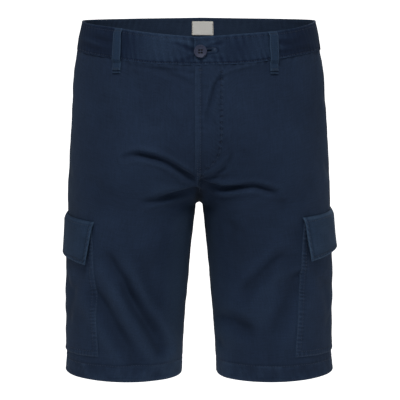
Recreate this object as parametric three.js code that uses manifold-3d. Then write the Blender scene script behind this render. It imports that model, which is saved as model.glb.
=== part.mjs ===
// Cargo shorts, filled out as when worn. Millimetres, +Z up, front towards -Y, wearer's left towards +X.
// The origin is the middle of the waist opening, level with the top of the waistband at the sides.
// Every piece of cloth is a thin wall laid on one garment surface, which the tables below describe.
import * as THREE from 'three';
import { mergeVertices } from 'three/addons/utils/BufferGeometryUtils.js';
import Module from 'manifold-3d';

const wasm = await Module();
wasm.setup();

const FRONT = -1;
const BACK = 1;
const LEFT = 1;
const RIGHT = -1;

// Thickness of each layer of cloth, and the room between pieces.
const CLOTH = { panel: 1.6, hemFold: 0.9, waistband: 2.4, pocket: 1.6, flap: 1.8, loop: 1.8, fly: 1.3, label: 0.8 };
const SEAM_GAP = 0.3;
const LAY_GAP = 0.5;

// The garment's sections: half its width, and how far the front and the back stand off the side seams.
const SECTIONS = [
  { z: 10, halfWidth: 158, front: 101, back: 108 },
  { z: 0, halfWidth: 160.5, front: 102, back: 110 },
  { z: -21, halfWidth: 165, front: 105, back: 113 },
  { z: -45, halfWidth: 168.5, front: 108, back: 118 },
  { z: -72, halfWidth: 173.4, front: 111, back: 125 },
  { z: -105, halfWidth: 175.8, front: 115, back: 133 },
  { z: -138, halfWidth: 178, front: 118, back: 138 },
  { z: -180, halfWidth: 180.2, front: 119, back: 139 },
  { z: -230, halfWidth: 182.6, front: 115, back: 130 },
  { z: -250, halfWidth: 183, front: 112, back: 124 },
  { z: -323, halfWidth: 182.8, front: 100, back: 107 },
  { z: -391, halfWidth: 183.6, front: 91, back: 96 },
  { z: -450, halfWidth: 185, front: 85, back: 89 },
  { z: -500, halfWidth: 189.5, front: 82, back: 86 },
];
const ROUNDNESS = 2.15; // 2 gives elliptical sections, more gives squarer ones

// The inseam of each leg stands this far off the middle.
const INSEAM = [
  { z: -245, inner: 4.2 },
  { z: -260, inner: 5.2 },
  { z: -288, inner: 8.4 },
  { z: -323, inner: 12 },
  { z: -391, inner: 17.8 },
  { z: -450, inner: 22 },
  { z: -500, inner: 24 },
];

// The crotch: the bottom of the rise, the roundness of the cleft, and how far the legs' crests stand apart.
const CROTCH = { z: -249, cleft: 4.2, legCrest: 94, frontRise: 108, backRise: 118 };

// The waistband's top edge and the seam under it, at stations from centre front, 0, to side, 1, to centre back, 2,
// round each side. The wearer's left sags a little, as its lap pulls on the button.
const WAIST = {
  [RIGHT]: [
    { at: 0, top: -23.2, seam: -60.5 },
    { at: 0.25, top: -17.6, seam: -58.8 },
    { at: 0.5, top: -10, seam: -51.4 },
    { at: 0.75, top: -5, seam: -45 },
    { at: 1, top: 0, seam: -40 },
    { at: 1.5, top: 3.4, seam: -37.4 },
    { at: 2, top: 5.4, seam: -35.4 },
  ],
  [LEFT]: [
    { at: 0, top: -23.2, seam: -60.5 },
    { at: 0.25, top: -18.4, seam: -58.2 },
    { at: 0.5, top: -13.5, seam: -50.5 },
    { at: 0.75, top: -6, seam: -43.5 },
    { at: 1, top: 0, seam: -40 },
    { at: 1.5, top: 3.4, seam: -37.4 },
    { at: 2, top: 5.4, seam: -35.4 },
  ],
};
const HEM = { level: -490, side: 4, inseam: -2, frontDip: 4.5, backDip: 2 };

// Cargo pockets and their flaps. Edges round the leg are shares of a half turn from the side seam, and
// the flap's upper and lower edges rise from its front end to its back end.
const POCKET = { top: -283, bottom: -459.5, billow: 1.2, edgeColumn: { [FRONT]: 0.65, [BACK]: 0.7 } };
const POCKET_LEAN = { [LEFT]: { top: 0.041, bottom: -0.033 }, [RIGHT]: { top: 0.056, bottom: -0.005 } };
const FLAP = {
  backEdge: { top: 0.312, bottom: 0.302 },
  upper: [{ at: -1, z: -268.5 }, { at: 0, z: -263 }, { at: 1, z: -259 }],
  lower: [{ at: -1, z: -327.5 }, { at: 0, z: -318 }, { at: 1, z: -313 }],
  step: 2.2,
  cornerLift: 2.5,
};
const FLAP_SIDES = {
  [LEFT]: { rise: 3, frontTop: 0.328, frontBottom: 0.31, hang: 2.6 },
  [RIGHT]: { rise: -3, frontTop: 0.325, frontBottom: 0.2975, hang: 1.4 },
};

const OVERLAP = { edge: 6, underlap: 30, step: 14, early: 6 };
const FLY = { edge: -5.8, width: 33, straightTo: -163, bottom: -209 };
const LOOPS = { width: 12.6, belowSeam: 18.5, taper: 0.4, bow: 3.4, clear: 5 };
const LOOP_PLACES = [
  { name: 'belt_loop_front_left', side: LEFT, at: 0.41 },
  { name: 'belt_loop_front_right', side: RIGHT, at: 0.458 },
  { name: 'belt_loop_back_left', side: LEFT, at: 1.34 },
  { name: 'belt_loop_back_right', side: RIGHT, at: 1.34 },
  { name: 'belt_loop_back_centre', side: LEFT, at: 2 },
];
const BUTTON = { x: 1.9, z: -41.7, radius: 9, thickness: 3, rim: 1.6, dish: 0.9, holeRadius: 1, holeSpacing: 3.2 };
const BUTTONHOLE = { length: 20, width: 1.4, start: -2 };
const LABEL = { x: 5.5, width: 32, height: 20, below: 5 };

// The main creases, each a soft trough along a curve in the front view: its two ends, the point that bends it,
// its depth and its half width.
const CREASES = [
  { face: FRONT, x0: -106, z0: -186, x1: -52, z1: -180, x2: -3, z2: -224, depth: 6, width: 11 },
  { face: FRONT, x0: -84, z0: -254, x1: -40, z1: -244, x2: -3, z2: -231, depth: 4, width: 9 },
  { face: FRONT, x0: 4, z0: -225, x1: 26, z1: -238, x2: 112, z2: -243, depth: 6, width: 9 },
  { face: FRONT, x0: 46, z0: -176, x1: 38, z1: -208, x2: 3, z2: -217, depth: 3, width: 9 },
  { face: FRONT, x0: -128, z0: -316, x1: -74, z1: -380, x2: -44, z2: -456, depth: 7, width: 13 },
  { face: FRONT, x0: -140, z0: -364, x1: -108, z1: -405, x2: -70, z2: -482, depth: 6, width: 13 },
  { face: FRONT, x0: 14, z0: -410, x1: 42, z1: -398, x2: 78, z2: -424, depth: 5, width: 12 },
  { face: FRONT, x0: 126, z0: -318, x1: 80, z1: -330, x2: 38, z2: -390, depth: 4.5, width: 13 },
  { face: FRONT, x0: 134, z0: -342, x1: 106, z1: -410, x2: 62, z2: -456, depth: 5, width: 13 },
  { face: BACK, x0: 4, z0: -216, x1: 44, z1: -238, x2: 118, z2: -232, depth: 6, width: 12 },
  { face: BACK, x0: -4, z0: -212, x1: -50, z1: -230, x2: -110, z2: -244, depth: 6, width: 12 },
  { face: BACK, x0: 118, z0: -296, x1: 84, z1: -356, x2: 50, z2: -442, depth: 6, width: 14 },
  { face: BACK, x0: -34, z0: -302, x1: -70, z1: -352, x2: -118, z2: -434, depth: 6, width: 14 },
];

// How finely each piece is divided.
const MESH = {
  [FRONT]: { columns: 22, rise: 14, thigh: 3, pocket: 14, hem: 2 },
  [BACK]: { columns: 18, rise: 11, thigh: 3, pocket: 14, hem: 2 },
  waistband: { perStation: 22, rows: 3 },
  flap: { columns: 18, rows: 5 },
  fly: { columns: 6, rows: 16 },
  loop: { columns: 2, rows: 14 },
};

const lerp = THREE.MathUtils.lerp;
const clamp01 = (t) => THREE.MathUtils.clamp(t, 0, 1);
const smooth = (t) => THREE.MathUtils.smoothstep(t, 0, 1);

// Reads one column of a table at a place between its rows, along a smooth curve through them.
function readTable(rows, key, column, at) {
  const rising = rows[rows.length - 1][key] > rows[0][key];
  const past = rows.findIndex((row) => (rising ? row[key] > at : row[key] < at));
  const i = past < 0 ? rows.length - 2 : Math.max(past - 1, 0);
  const [a, b] = [rows[i], rows[i + 1]];
  const [before, after] = [rows[Math.max(i - 1, 0)], rows[Math.min(i + 2, rows.length - 1)]];
  const span = b[key] - a[key];
  const t = clamp01((at - a[key]) / span);
  const slopeA = ((b[column] - before[column]) / (b[key] - before[key])) * span;
  const slopeB = ((after[column] - a[column]) / (after[key] - a[key])) * span;
  const [t2, t3] = [t * t, t * t * t];
  return (
    (2 * t3 - 3 * t2 + 1) * a[column] + (t3 - 2 * t2 + t) * slopeA +
    (3 * t2 - 2 * t3) * b[column] + (t3 - t2) * slopeB
  );
}

const halfWidthAt = (z) => readTable(SECTIONS, 'z', 'halfWidth', z);
const standOffAt = (z, face) => readTable(SECTIONS, 'z', face === FRONT ? 'front' : 'back', z);
const riseOf = (face) => (face === FRONT ? CROTCH.frontRise : CROTCH.backRise);

// How far the cloth's inner edge stands off the middle: none above the crotch, round the cleft, down the inseam.
function innerEdgeAt(z) {
  if (z >= CROTCH.z) return 0;
  const drop = CROTCH.z - z;
  if (drop >= CROTCH.cleft) return readTable(INSEAM, 'z', 'inner', z);
  return Math.sqrt(CROTCH.cleft ** 2 - (CROTCH.cleft - drop) ** 2);
}

// 0 at the edges where front and back meet, 1 on the crest of the leg or body. It joins one body above to two
// legs below: away from the crotch and the inseams it swells over the distance from the cleft.
function swell(x, z, face) {
  const rise = riseOf(face);
  const up = clamp01((z - CROTCH.z) / rise);
  const crest = CROTCH.legCrest * Math.sqrt(1 - up * up);
  const half = halfWidthAt(z);
  const outward = clamp01((Math.abs(x) - crest) / (half - crest));
  const middle = CROTCH.z - CROTCH.cleft;
  let fromCleft = Math.abs(x) - innerEdgeAt(z);
  if (z > middle) {
    const lift = z <= CROTCH.z ? z - middle : CROTCH.cleft + ((z - CROTCH.z) * CROTCH.legCrest) / rise;
    fromCleft = Math.hypot(x, lift) - CROTCH.cleft;
  }
  const inward = clamp01(1 - fromCleft / CROTCH.legCrest);
  return Math.max((1 - outward ** ROUNDNESS) * (1 - inward ** ROUNDNESS), 0);
}

// The depth of all the creases at a place in the front view.
function creaseDepth(x, z, face) {
  let depth = 0;
  for (const c of CREASES) {
    if (c.face !== face) continue;
    let nearest = Infinity;
    let along = 0;
    for (let k = 0; k <= 12; k++) {
      const t = k / 12;
      const cx = (1 - t) ** 2 * c.x0 + 2 * t * (1 - t) * c.x1 + t * t * c.x2;
      const cz = (1 - t) ** 2 * c.z0 + 2 * t * (1 - t) * c.z1 + t * t * c.z2;
      const d = Math.hypot(x - cx, z - cz);
      if (d < nearest) [nearest, along] = [d, t];
    }
    const taper = smooth(clamp01(Math.min(along, 1 - along) / 0.25) * 0.75 + 0.25);
    depth += c.depth * taper * Math.exp(-((nearest / c.width) ** 2));
  }
  return depth;
}

// A point of the garment's surface and its outward normal. The surface is |y| = standOff * swell^(1 / ROUNDNESS),
// pushed in by the creases, and the normal is the slope of that equation.
function clothAt(x, z, face) {
  const S = swell(x, z, face);
  const off = standOffAt(z, face);
  const share = S ** (1 / ROUNDNESS);
  const fade = smooth(share * 1.6);
  const depth = creaseDepth(x, z, face) * fade;
  const step = 0.4;
  const slope = (f) => (f(step) - f(-step)) / (2 * step);
  const power = (s, o) => o ** ROUNDNESS * s;
  const gx = -slope((h) => power(swell(x + h, z, face), off));
  const gz = -slope((h) => power(swell(x, z + h, face), standOffAt(z + h, face)));
  const gy = ROUNDNESS * Math.max(off * share, 1e-6) ** (ROUNDNESS - 1);
  const cx = slope((h) => creaseDepth(x + h, z, face) * fade) * gy;
  const cz = slope((h) => creaseDepth(x, z + h, face) * fade) * gy;
  return {
    point: new THREE.Vector3(x, face * (off * share - depth), z),
    normal: new THREE.Vector3(gx + cx, face * gy, gz + cz).normalize(),
  };
}

// The height of a panel's point: a level row, carried up to the waist seam or down to the hem's own line.
function heightAt(level, u, side, face) {
  const seamLevel = -45;
  const seam = readTable(WAIST[side], 'at', 'seam', face === FRONT ? u : 2 - u);
  const toWaist = smooth((level + 165) / (165 + seamLevel));
  const dip = face === FRONT ? HEM.frontDip : HEM.backDip;
  const hem = lerp(HEM.inseam, HEM.side, u) - dip * Math.sin(Math.PI * u);
  const toHem = clamp01((POCKET.bottom - level) / (POCKET.bottom - HEM.level));
  return level + (seam - seamLevel) * toWaist + hem * toHem;
}

// A place across a panel, u from its inner edge, 0, to the side seam, 1. Columns lean to follow the pocket's edge.
function acrossAt(u, z, side, face) {
  const legs = smooth((CROTCH.z + riseOf(face) - z) / riseOf(face));
  const down = clamp01((POCKET.top - z) / (POCKET.top - POCKET.bottom));
  const lean = lerp(POCKET_LEAN[side].top, POCKET_LEAN[side].bottom, down) * legs;
  const v = u + lean * Math.sin(Math.PI * u);
  const share = lerp(Math.sin((Math.PI / 2) * v), (1 - Math.cos(Math.PI * v)) / 2, legs);
  const inner = innerEdgeAt(z);
  return inner + (halfWidthAt(z) - inner) * share;
}

// The level rows of a panel, closer together near the crotch, with rows on the pocket's top and bottom edges.
function panelLevels(mesh) {
  const levels = [];
  for (let k = 0; k < mesh.rise; k++) levels.push(CROTCH.z + (-45 - CROTCH.z) * (1 - k / mesh.rise) ** 2);
  for (let k = 0; k < mesh.thigh; k++) levels.push(lerp(CROTCH.z, POCKET.top, (k / mesh.thigh) ** 1.6));
  for (let k = 0; k < mesh.pocket; k++) levels.push(lerp(POCKET.top, POCKET.bottom, k / mesh.pocket));
  for (let k = 0; k <= mesh.hem; k++) levels.push(lerp(POCKET.bottom, HEM.level, k / mesh.hem));
  return levels;
}

// Rows of surface points for one panel, inner edge first.
function panelGrid(side, face) {
  const mesh = MESH[face];
  return panelLevels(mesh).map((level) =>
    Array.from({ length: mesh.columns + 1 }, (_, j) => {
      const u = j / mesh.columns;
      const z = heightAt(level, u, side, face);
      return { ...clothAt(side * acrossAt(u, z, side, face), z, face), level };
    }),
  );
}

// A closed wall: a grid of surface points moved out to an outer and an inner skin, joined round the edge.
// from and to say how far out each skin lies, and turned is true where the grid runs the other way round.
function wall(grid, from, to, turned) {
  const rows = grid.length;
  const columns = grid[0].length;
  const positions = [];
  for (const offset of [to, from]) {
    grid.forEach((row, i) =>
      row.forEach((spot, j) => {
        const distance = typeof offset === 'function' ? offset(spot, i, j) : offset;
        positions.push(...spot.point.clone().addScaledVector(spot.normal, distance));
      }),
    );
  }
  const skin = rows * columns;
  const faces = [];
  const quad = (a, b, c, d) => (turned ? faces.push(a, c, b, a, d, c) : faces.push(a, b, c, a, c, d));
  for (let i = 0; i + 1 < rows; i++) {
    for (let j = 0; j + 1 < columns; j++) {
      const a = i * columns + j;
      quad(a, a + columns, a + columns + 1, a + 1);
      quad(skin + a, skin + a + 1, skin + a + columns + 1, skin + a + columns);
    }
  }
  for (let j = 0; j + 1 < columns; j++) {
    const last = (rows - 1) * columns + j;
    quad(j, j + 1, skin + j + 1, skin + j);
    quad(last + 1, last, skin + last, skin + last + 1);
  }
  for (let i = 0; i + 1 < rows; i++) {
    const a = i * columns;
    const b = a + columns - 1;
    quad(a + columns, a, skin + a, skin + a + columns);
    quad(b, b + columns, skin + b + columns, skin + b);
  }
  const geometry = new THREE.BufferGeometry();
  geometry.setAttribute('position', new THREE.Float32BufferAttribute(positions, 3));
  geometry.setIndex(faces);
  geometry.computeVertexNormals();
  return geometry;
}

// A closed mesh as a solid, and a solid as a mesh.
function solidOf(geometry) {
  const bare = geometry.clone();
  bare.deleteAttribute('normal');
  bare.deleteAttribute('uv');
  const merged = mergeVertices(bare, 1e-4);
  return new wasm.Manifold(
    new wasm.Mesh({
      numProp: 3,
      vertProperties: merged.attributes.position.array,
      triVerts: new Uint32Array(merged.index.array),
    }),
  );
}

function geometryOf(solid) {
  const mesh = solid.getMesh();
  const geometry = new THREE.BufferGeometry();
  geometry.setAttribute('position', new THREE.BufferAttribute(mesh.vertProperties, 3));
  geometry.setIndex(new THREE.BufferAttribute(mesh.triVerts, 1));
  geometry.computeVertexNormals();
  return geometry;
}

const FINISH = {
  twill: new THREE.MeshStandardMaterial({ color: 0x222c3e, roughness: 0.9, metalness: 0 }),
  flapTwill: new THREE.MeshStandardMaterial({ color: 0x263445, roughness: 0.9, metalness: 0 }),
  button: new THREE.MeshStandardMaterial({ color: 0x3b3b4a, roughness: 0.5, metalness: 0 }),
  label: new THREE.MeshStandardMaterial({ color: 0xd9d6cc, roughness: 0.8, metalness: 0 }),
};

const shorts = new THREE.Group();
function add(name, geometry, finish) {
  const mesh = new THREE.Mesh(geometry, finish);
  mesh.name = name;
  shorts.add(mesh);
  return mesh;
}

// Front and back panels, each half a seam's gap off the middle and off the side seam. The hem is folded inside.
function panel(side, face) {
  const grid = panelGrid(side, face);
  const inner = (spot) => -CLOTH.panel - CLOTH.hemFold * clamp01((POCKET.bottom - spot.level) / 13);
  const mesh = add(
    (face === FRONT ? 'front' : 'back') + (side === LEFT ? '_left' : '_right'),
    wall(grid, inner, 0, side * face > 0),
    FINISH.twill,
  );
  mesh.position.set((side * SEAM_GAP) / 2, (face * SEAM_GAP) / 2, 0);
  return grid;
}

// A cargo pocket: the panels' own points inside its edges, front and back, moved out, a little fuller in the middle.
function cargoPocket(side, frontGrid, backGrid) {
  const inside = (grid, face) => {
    const edge = Math.round(POCKET.edgeColumn[face] * MESH[face].columns);
    return grid
      .filter((row) => row[0].level <= POCKET.top + 0.01 && row[0].level >= POCKET.bottom - 0.01)
      .map((row) => row.slice(edge));
  };
  const fronts = inside(frontGrid, FRONT);
  const backs = inside(backGrid, BACK);
  const grid = fronts.map((row, i) => [...row, ...backs[i].slice(0, -1).reverse()]);
  const full = (i, j) =>
    POCKET.billow * Math.sin((Math.PI * i) / (grid.length - 1)) * Math.sin((Math.PI * j) / (grid[0].length - 1));
  add(
    side === LEFT ? 'cargo_pocket_left' : 'cargo_pocket_right',
    wall(
      grid,
      (_, i, j) => LAY_GAP + full(i, j),
      (_, i, j) => LAY_GAP + CLOTH.pocket + full(i, j),
      side === RIGHT,
    ),
    FINISH.twill,
  );
}

// A point on a leg by its turn from the side seam, -1 to 1 with the front negative, and its height.
function legSpot(side, turn, z) {
  const inner = innerEdgeAt(z);
  const x = inner + ((halfWidthAt(z) - inner) * (1 + Math.cos(Math.PI * turn))) / 2;
  return clothAt(side * x, z, turn < 0 ? FRONT : BACK);
}

// A pocket flap: sewn down along its upper edge, and standing off the pocket further down.
function pocketFlap(side) {
  const { columns, rows } = MESH.flap;
  const cut = FLAP_SIDES[side];
  const grid = Array.from({ length: rows + 1 }, (_, i) =>
    Array.from({ length: columns + 1 }, (_, j) => {
      const down = i / rows;
      const across = (2 * j) / columns - 1;
      const upper = readTable(FLAP.upper, 'at', 'z', across);
      const lower = readTable(FLAP.lower, 'at', 'z', across);
      const frontEnd = lerp(cut.frontTop, cut.frontBottom, down);
      const backEnd = lerp(FLAP.backEdge.top, FLAP.backEdge.bottom, down);
      const turn = across * (across < 0 ? frontEnd : backEnd);
      const z = lerp(upper, lower, down) + cut.rise;
      const overPocket = FLAP.step * smooth((upper - lerp(upper, lower, down)) / 9);
      const lift = overPocket + cut.hang * down + FLAP.cornerLift * down * Math.max(-across, 0) ** 3;
      return { ...legSpot(side, turn, z), lift };
    }),
  );
  const under = (spot) => LAY_GAP + 0.5 + spot.lift;
  add(
    side === LEFT ? 'pocket_flap_left' : 'pocket_flap_right',
    wall(grid, under, (spot) => under(spot) + CLOTH.flap, side === RIGHT),
    FINISH.flapTwill,
  );
}

// A point of the waistband's surface, at a station round the waist and a share of its height down from its top.
function waistSpot(side, at, down) {
  const station = at > 2 ? 4 - at : Math.abs(at);
  const half = at < 0 || at > 2 ? -side : side;
  const z = lerp(readTable(WAIST[half], 'at', 'top', station), readTable(WAIST[half], 'at', 'seam', station), down);
  const x = side * halfWidthAt(z) * Math.sin((Math.PI / 2) * at);
  return clothAt(x, z, station < 1 ? FRONT : BACK);
}

const stationAt = (x) => (2 / Math.PI) * Math.asin(x / halfWidthAt(BUTTON.z));

// One half of the waistband, from centre back round to the front, where the left half laps over the right.
function waistbandHalf(side) {
  const { perStation, rows } = MESH.waistband;
  const start = -stationAt(side === LEFT ? OVERLAP.edge : OVERLAP.underlap);
  const columns = Math.round((2 - start) * perStation);
  const seamShare = SEAM_GAP / (WAIST[side][4].top - WAIST[side][4].seam);
  const lapStart = OVERLAP.edge + OVERLAP.early + OVERLAP.step;
  const under = (spot) =>
    side === LEFT ? 0 : smooth((spot.point.x + lapStart) / OVERLAP.step) * (spot.front ? 1 : 0);
  const grid = Array.from({ length: rows + 1 }, (_, i) =>
    Array.from({ length: columns + 1 }, (_, j) => {
      const at = lerp(start, 2, j / columns);
      return { ...waistSpot(side, at, (i / rows) * (1 - seamShare)), front: at < 0.5 };
    }),
  );
  const inner = (spot) => -CLOTH.waistband + 0.6 - under(spot) * (CLOTH.waistband + SEAM_GAP + 0.2);
  return wall(grid, inner, (spot) => inner(spot) + CLOTH.waistband, side === RIGHT);
}

// The slit of the buttonhole, as a thin box through the waistband.
function buttonholeCutter() {
  const box = new THREE.BoxGeometry(BUTTONHOLE.length, 30, BUTTONHOLE.width);
  box.translate(BUTTON.x + BUTTONHOLE.start + BUTTONHOLE.length / 2, -standOffAt(BUTTON.z, FRONT), BUTTON.z);
  return box;
}

// A belt loop: a strip sewn down at its ends, with room for a belt between.
function beltLoop({ name, side, at }) {
  const { columns, rows } = MESH.loop;
  const top = readTable(WAIST[side], 'at', 'top', at);
  const seam = readTable(WAIST[side], 'at', 'seam', at);
  const bottom = seam - LOOPS.belowSeam;
  const face = at < 1 ? FRONT : BACK;
  const turn = side * Math.sin((Math.PI / 2) * at);
  const grid = Array.from({ length: rows + 1 }, (_, i) =>
    Array.from({ length: columns + 1 }, (_, j) => {
      const z = lerp(top - 0.6, bottom, i / rows);
      const middle = turn * lerp(halfWidthAt(top), halfWidthAt(z), LOOPS.taper);
      const centre = clothAt(middle, z, face);
      const across = new THREE.Vector3(0, 0, 1).cross(centre.normal).normalize();
      const shift = (j / columns - 0.5) * LOOPS.width;
      const spot = clothAt(middle + across.x * shift, z, face);
      const bow = smooth((top - z - 2) / LOOPS.clear) * smooth((z - seam + 6) / LOOPS.clear);
      return { point: spot.point, normal: centre.normal, lift: 1.1 + LOOPS.bow * bow };
    }),
  );
  add(name, wall(grid, (spot) => spot.lift, (spot) => spot.lift + CLOTH.loop, false), FINISH.twill);
}

// The fly: the left front's folded edge, lapped over the middle, with a curved lower end.
function fly() {
  const { columns, rows } = MESH.fly;
  const grid = Array.from({ length: rows + 1 }, (_, i) =>
    Array.from({ length: columns + 1 }, (_, j) => {
      const down = Math.sin((Math.PI / 2) * (i / rows)) ** 0.9;
      const z = lerp(WAIST[LEFT][0].seam - SEAM_GAP, FLY.bottom, down);
      const curve = clamp01((FLY.straightTo - z) / (FLY.straightTo - FLY.bottom));
      const width = lerp(FLY.edge + 5, FLY.width, Math.sqrt(1 - curve ** 2));
      return clothAt(lerp(FLY.edge, width, j / columns), z, FRONT);
    }),
  );
  const lay = LAY_GAP + 0.7;
  add('fly', wall(grid, lay, lay + CLOTH.fly, false), FINISH.twill);
}

// A four-hole button with a raised rim, lying on the waistband.
function button() {
  const { radius, thickness, rim, dish } = BUTTON;
  const profile = new THREE.Shape();
  profile.moveTo(0, 0);
  profile.lineTo(radius - 1.2, 0);
  profile.quadraticCurveTo(radius, 0, radius, thickness / 2);
  profile.quadraticCurveTo(radius, thickness, radius - rim / 2, thickness);
  profile.quadraticCurveTo(radius - rim, thickness, radius - rim - 0.8, thickness - dish);
  profile.lineTo(0, thickness - dish);
  const disc = new THREE.LatheGeometry(profile.getPoints(3), 24);
  let solid = solidOf(disc);
  for (const [i, j] of [[-1, -1], [-1, 1], [1, -1], [1, 1]]) {
    const hole = new THREE.CylinderGeometry(BUTTON.holeRadius, BUTTON.holeRadius, thickness * 3, 8);
    hole.translate((i * BUTTON.holeSpacing) / 2, 0, (j * BUTTON.holeSpacing) / 2);
    solid = solid.subtract(solidOf(hole));
  }
  const mesh = add('button', geometryOf(solid), FINISH.button);
  const seat = clothAt(BUTTON.x, BUTTON.z, FRONT);
  mesh.position.copy(seat.point).addScaledVector(seat.normal, 0.6 + LAY_GAP + 0.2);
  mesh.quaternion.setFromUnitVectors(new THREE.Vector3(0, 1, 0), seat.normal);
}

// A plain woven label inside the back of the waistband.
function label() {
  const half = stationAt(LABEL.width / 2);
  const middle = stationAt(LABEL.x);
  const height = WAIST[LEFT][6].top - WAIST[LEFT][6].seam;
  const grid = Array.from({ length: 3 }, (_, i) =>
    Array.from({ length: 9 }, (_, j) => {
      const down = (LABEL.below + (LABEL.height * i) / 2) / height;
      return waistSpot(LEFT, 2 - middle - lerp(-half, half, j / 8), down);
    }),
  );
  const outer = 0.6 - CLOTH.waistband - LAY_GAP;
  add('label', wall(grid, outer - CLOTH.label, outer, true), FINISH.label);
}

for (const side of [LEFT, RIGHT]) {
  const frontGrid = panel(side, FRONT);
  const backGrid = panel(side, BACK);
  cargoPocket(side, frontGrid, backGrid);
  pocketFlap(side);
}
const slit = solidOf(buttonholeCutter());
const lapped = geometryOf(solidOf(waistbandHalf(LEFT)).subtract(slit));
add('waistband_left', lapped, FINISH.twill).position.x = SEAM_GAP / 2;
add('waistband_right', waistbandHalf(RIGHT), FINISH.twill).position.x = -SEAM_GAP / 2;
fly();
LOOP_PLACES.forEach(beltLoop);
button();
label();

export default shorts;
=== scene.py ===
import math

import bmesh
import bpy
import numpy as np
from mathutils import Matrix, Vector


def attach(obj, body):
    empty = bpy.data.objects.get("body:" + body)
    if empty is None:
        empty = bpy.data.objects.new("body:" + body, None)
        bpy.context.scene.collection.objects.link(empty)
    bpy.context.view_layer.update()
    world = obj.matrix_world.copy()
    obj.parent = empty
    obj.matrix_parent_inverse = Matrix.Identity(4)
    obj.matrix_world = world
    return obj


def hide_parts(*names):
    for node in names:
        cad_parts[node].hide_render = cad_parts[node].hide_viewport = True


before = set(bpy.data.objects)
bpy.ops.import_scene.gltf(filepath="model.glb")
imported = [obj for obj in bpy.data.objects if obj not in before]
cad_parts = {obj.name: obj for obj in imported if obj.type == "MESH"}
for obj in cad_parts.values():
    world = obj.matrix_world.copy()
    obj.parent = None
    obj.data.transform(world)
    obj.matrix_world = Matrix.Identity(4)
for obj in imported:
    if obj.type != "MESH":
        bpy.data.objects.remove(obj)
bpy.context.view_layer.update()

# All sizes are in millimetres until a mesh is written. +X is the wearer's left, -Y the front, +Z up.
front, back = -1, 1
left, right = 1, -1

garment = {
    "roundness": 2.15,  # 2 would give elliptical sections
    "sections": [  # height, half width, and how far the front and the back stand off the side seams
        (10, 158, 101, 108), (0, 160.5, 102, 110), (-21, 165, 105, 113), (-45, 168.5, 108, 118),
        (-72, 173.4, 111, 125), (-105, 175.8, 115, 133), (-138, 178, 118, 138), (-180, 180.2, 119, 139),
        (-230, 182.6, 115, 130), (-250, 183, 112, 124), (-323, 182.8, 100, 107), (-391, 183.6, 91, 96),
        (-450, 185, 85, 89), (-500, 189.5, 82, 86),
    ],
    "inseam": [  # height, and how far the inseam stands off the middle
        (-245, 4.2), (-260, 5.2), (-288, 8.4), (-323, 12), (-391, 17.8), (-450, 22), (-500, 24),
    ],
    "crotch": -252.5, "cleft": 5, "legCrest": 94, "rise": {front: 108, back: 118},
}
waist = {  # station from centre front, 0, to side, 1, to centre back, 2; top edge, and the seam under it
    right: [(0, -23.2, -60.5), (0.25, -17.6, -58.8), (0.5, -10, -51.4), (0.75, -5, -45), (1, 0, -40),
            (1.5, 3.4, -37.4), (2, 5.4, -35.4)],
    left: [(0, -23.2, -60.5), (0.25, -18.4, -58.2), (0.5, -13.5, -50.5), (0.75, -6, -43.5), (1, 0, -40),
           (1.5, 3.4, -37.4), (2, 5.4, -35.4)],
}


def readTable(rows, column, at):  # a smooth curve through one column of a table
    rows = sorted(rows)
    keys = np.array([row[0] for row in rows], float)
    values = np.array([row[column] for row in rows], float)
    slopes = np.empty(len(rows))
    slopes[1:-1] = (values[2:] - values[:-2]) / (keys[2:] - keys[:-2])
    slopes[0] = (values[1] - values[0]) / (keys[1] - keys[0])
    slopes[-1] = (values[-1] - values[-2]) / (keys[-1] - keys[-2])
    i = np.clip(np.searchsorted(keys, at, side="right") - 1, 0, len(rows) - 2)
    span = keys[i + 1] - keys[i]
    t = np.clip((at - keys[i]) / span, 0, 1)
    return (
        (2 * t**3 - 3 * t**2 + 1) * values[i] + (t**3 - 2 * t**2 + t) * slopes[i] * span
        + (3 * t**2 - 2 * t**3) * values[i + 1] + (t**3 - t**2) * slopes[i + 1] * span
    )


def smooth(t):
    t = np.clip(t, 0, 1)
    return t * t * (3 - 2 * t)


def mix(a, b, t):
    return a + (b - a) * t


def bell(distance, width):
    return np.exp(-((distance / width) ** 2))


def halfWidthAt(z):
    return readTable(garment["sections"], 1, z)


def standOffAt(z, face):
    return readTable(garment["sections"], 2 if face == front else 3, z)


def innerEdgeAt(z):  # none above the crotch, round the cleft, then down the inseam
    drop = np.clip(garment["crotch"] - z, 0, None)
    cleft = garment["cleft"]
    turned = np.sqrt(np.clip(cleft**2 - (cleft - np.minimum(drop, cleft)) ** 2, 0, None))
    return np.where(drop >= cleft, readTable(garment["inseam"], 1, z), turned)


def swell(x, z, face):  # 0 where front meets back, 1 on the crest of the leg or body
    rise, crotch = garment["rise"][face], garment["crotch"]
    cleft, legCrest, power = garment["cleft"], garment["legCrest"], garment["roundness"]
    up = np.clip((z - crotch) / rise, 0, 1.6)
    crest = legCrest * np.sqrt((1 - up**2 + np.sqrt((1 - up**2) ** 2 + 0.03)) / 2)
    half = halfWidthAt(z)
    outward = np.clip((np.abs(x) - crest) / (half - crest), 0, 1)
    lift = np.where(z <= crotch, z - crotch + cleft, cleft + (z - crotch) * legCrest / rise)
    fromCleft = np.where(
        z > crotch - cleft, np.hypot(x, np.maximum(lift, 0)) - cleft, np.abs(x) - innerEdgeAt(z)
    )
    inward = np.clip(1 - fromCleft / legCrest, 0, 1)
    return np.clip((1 - outward**power) * (1 - inward**power), 0, None)


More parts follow.
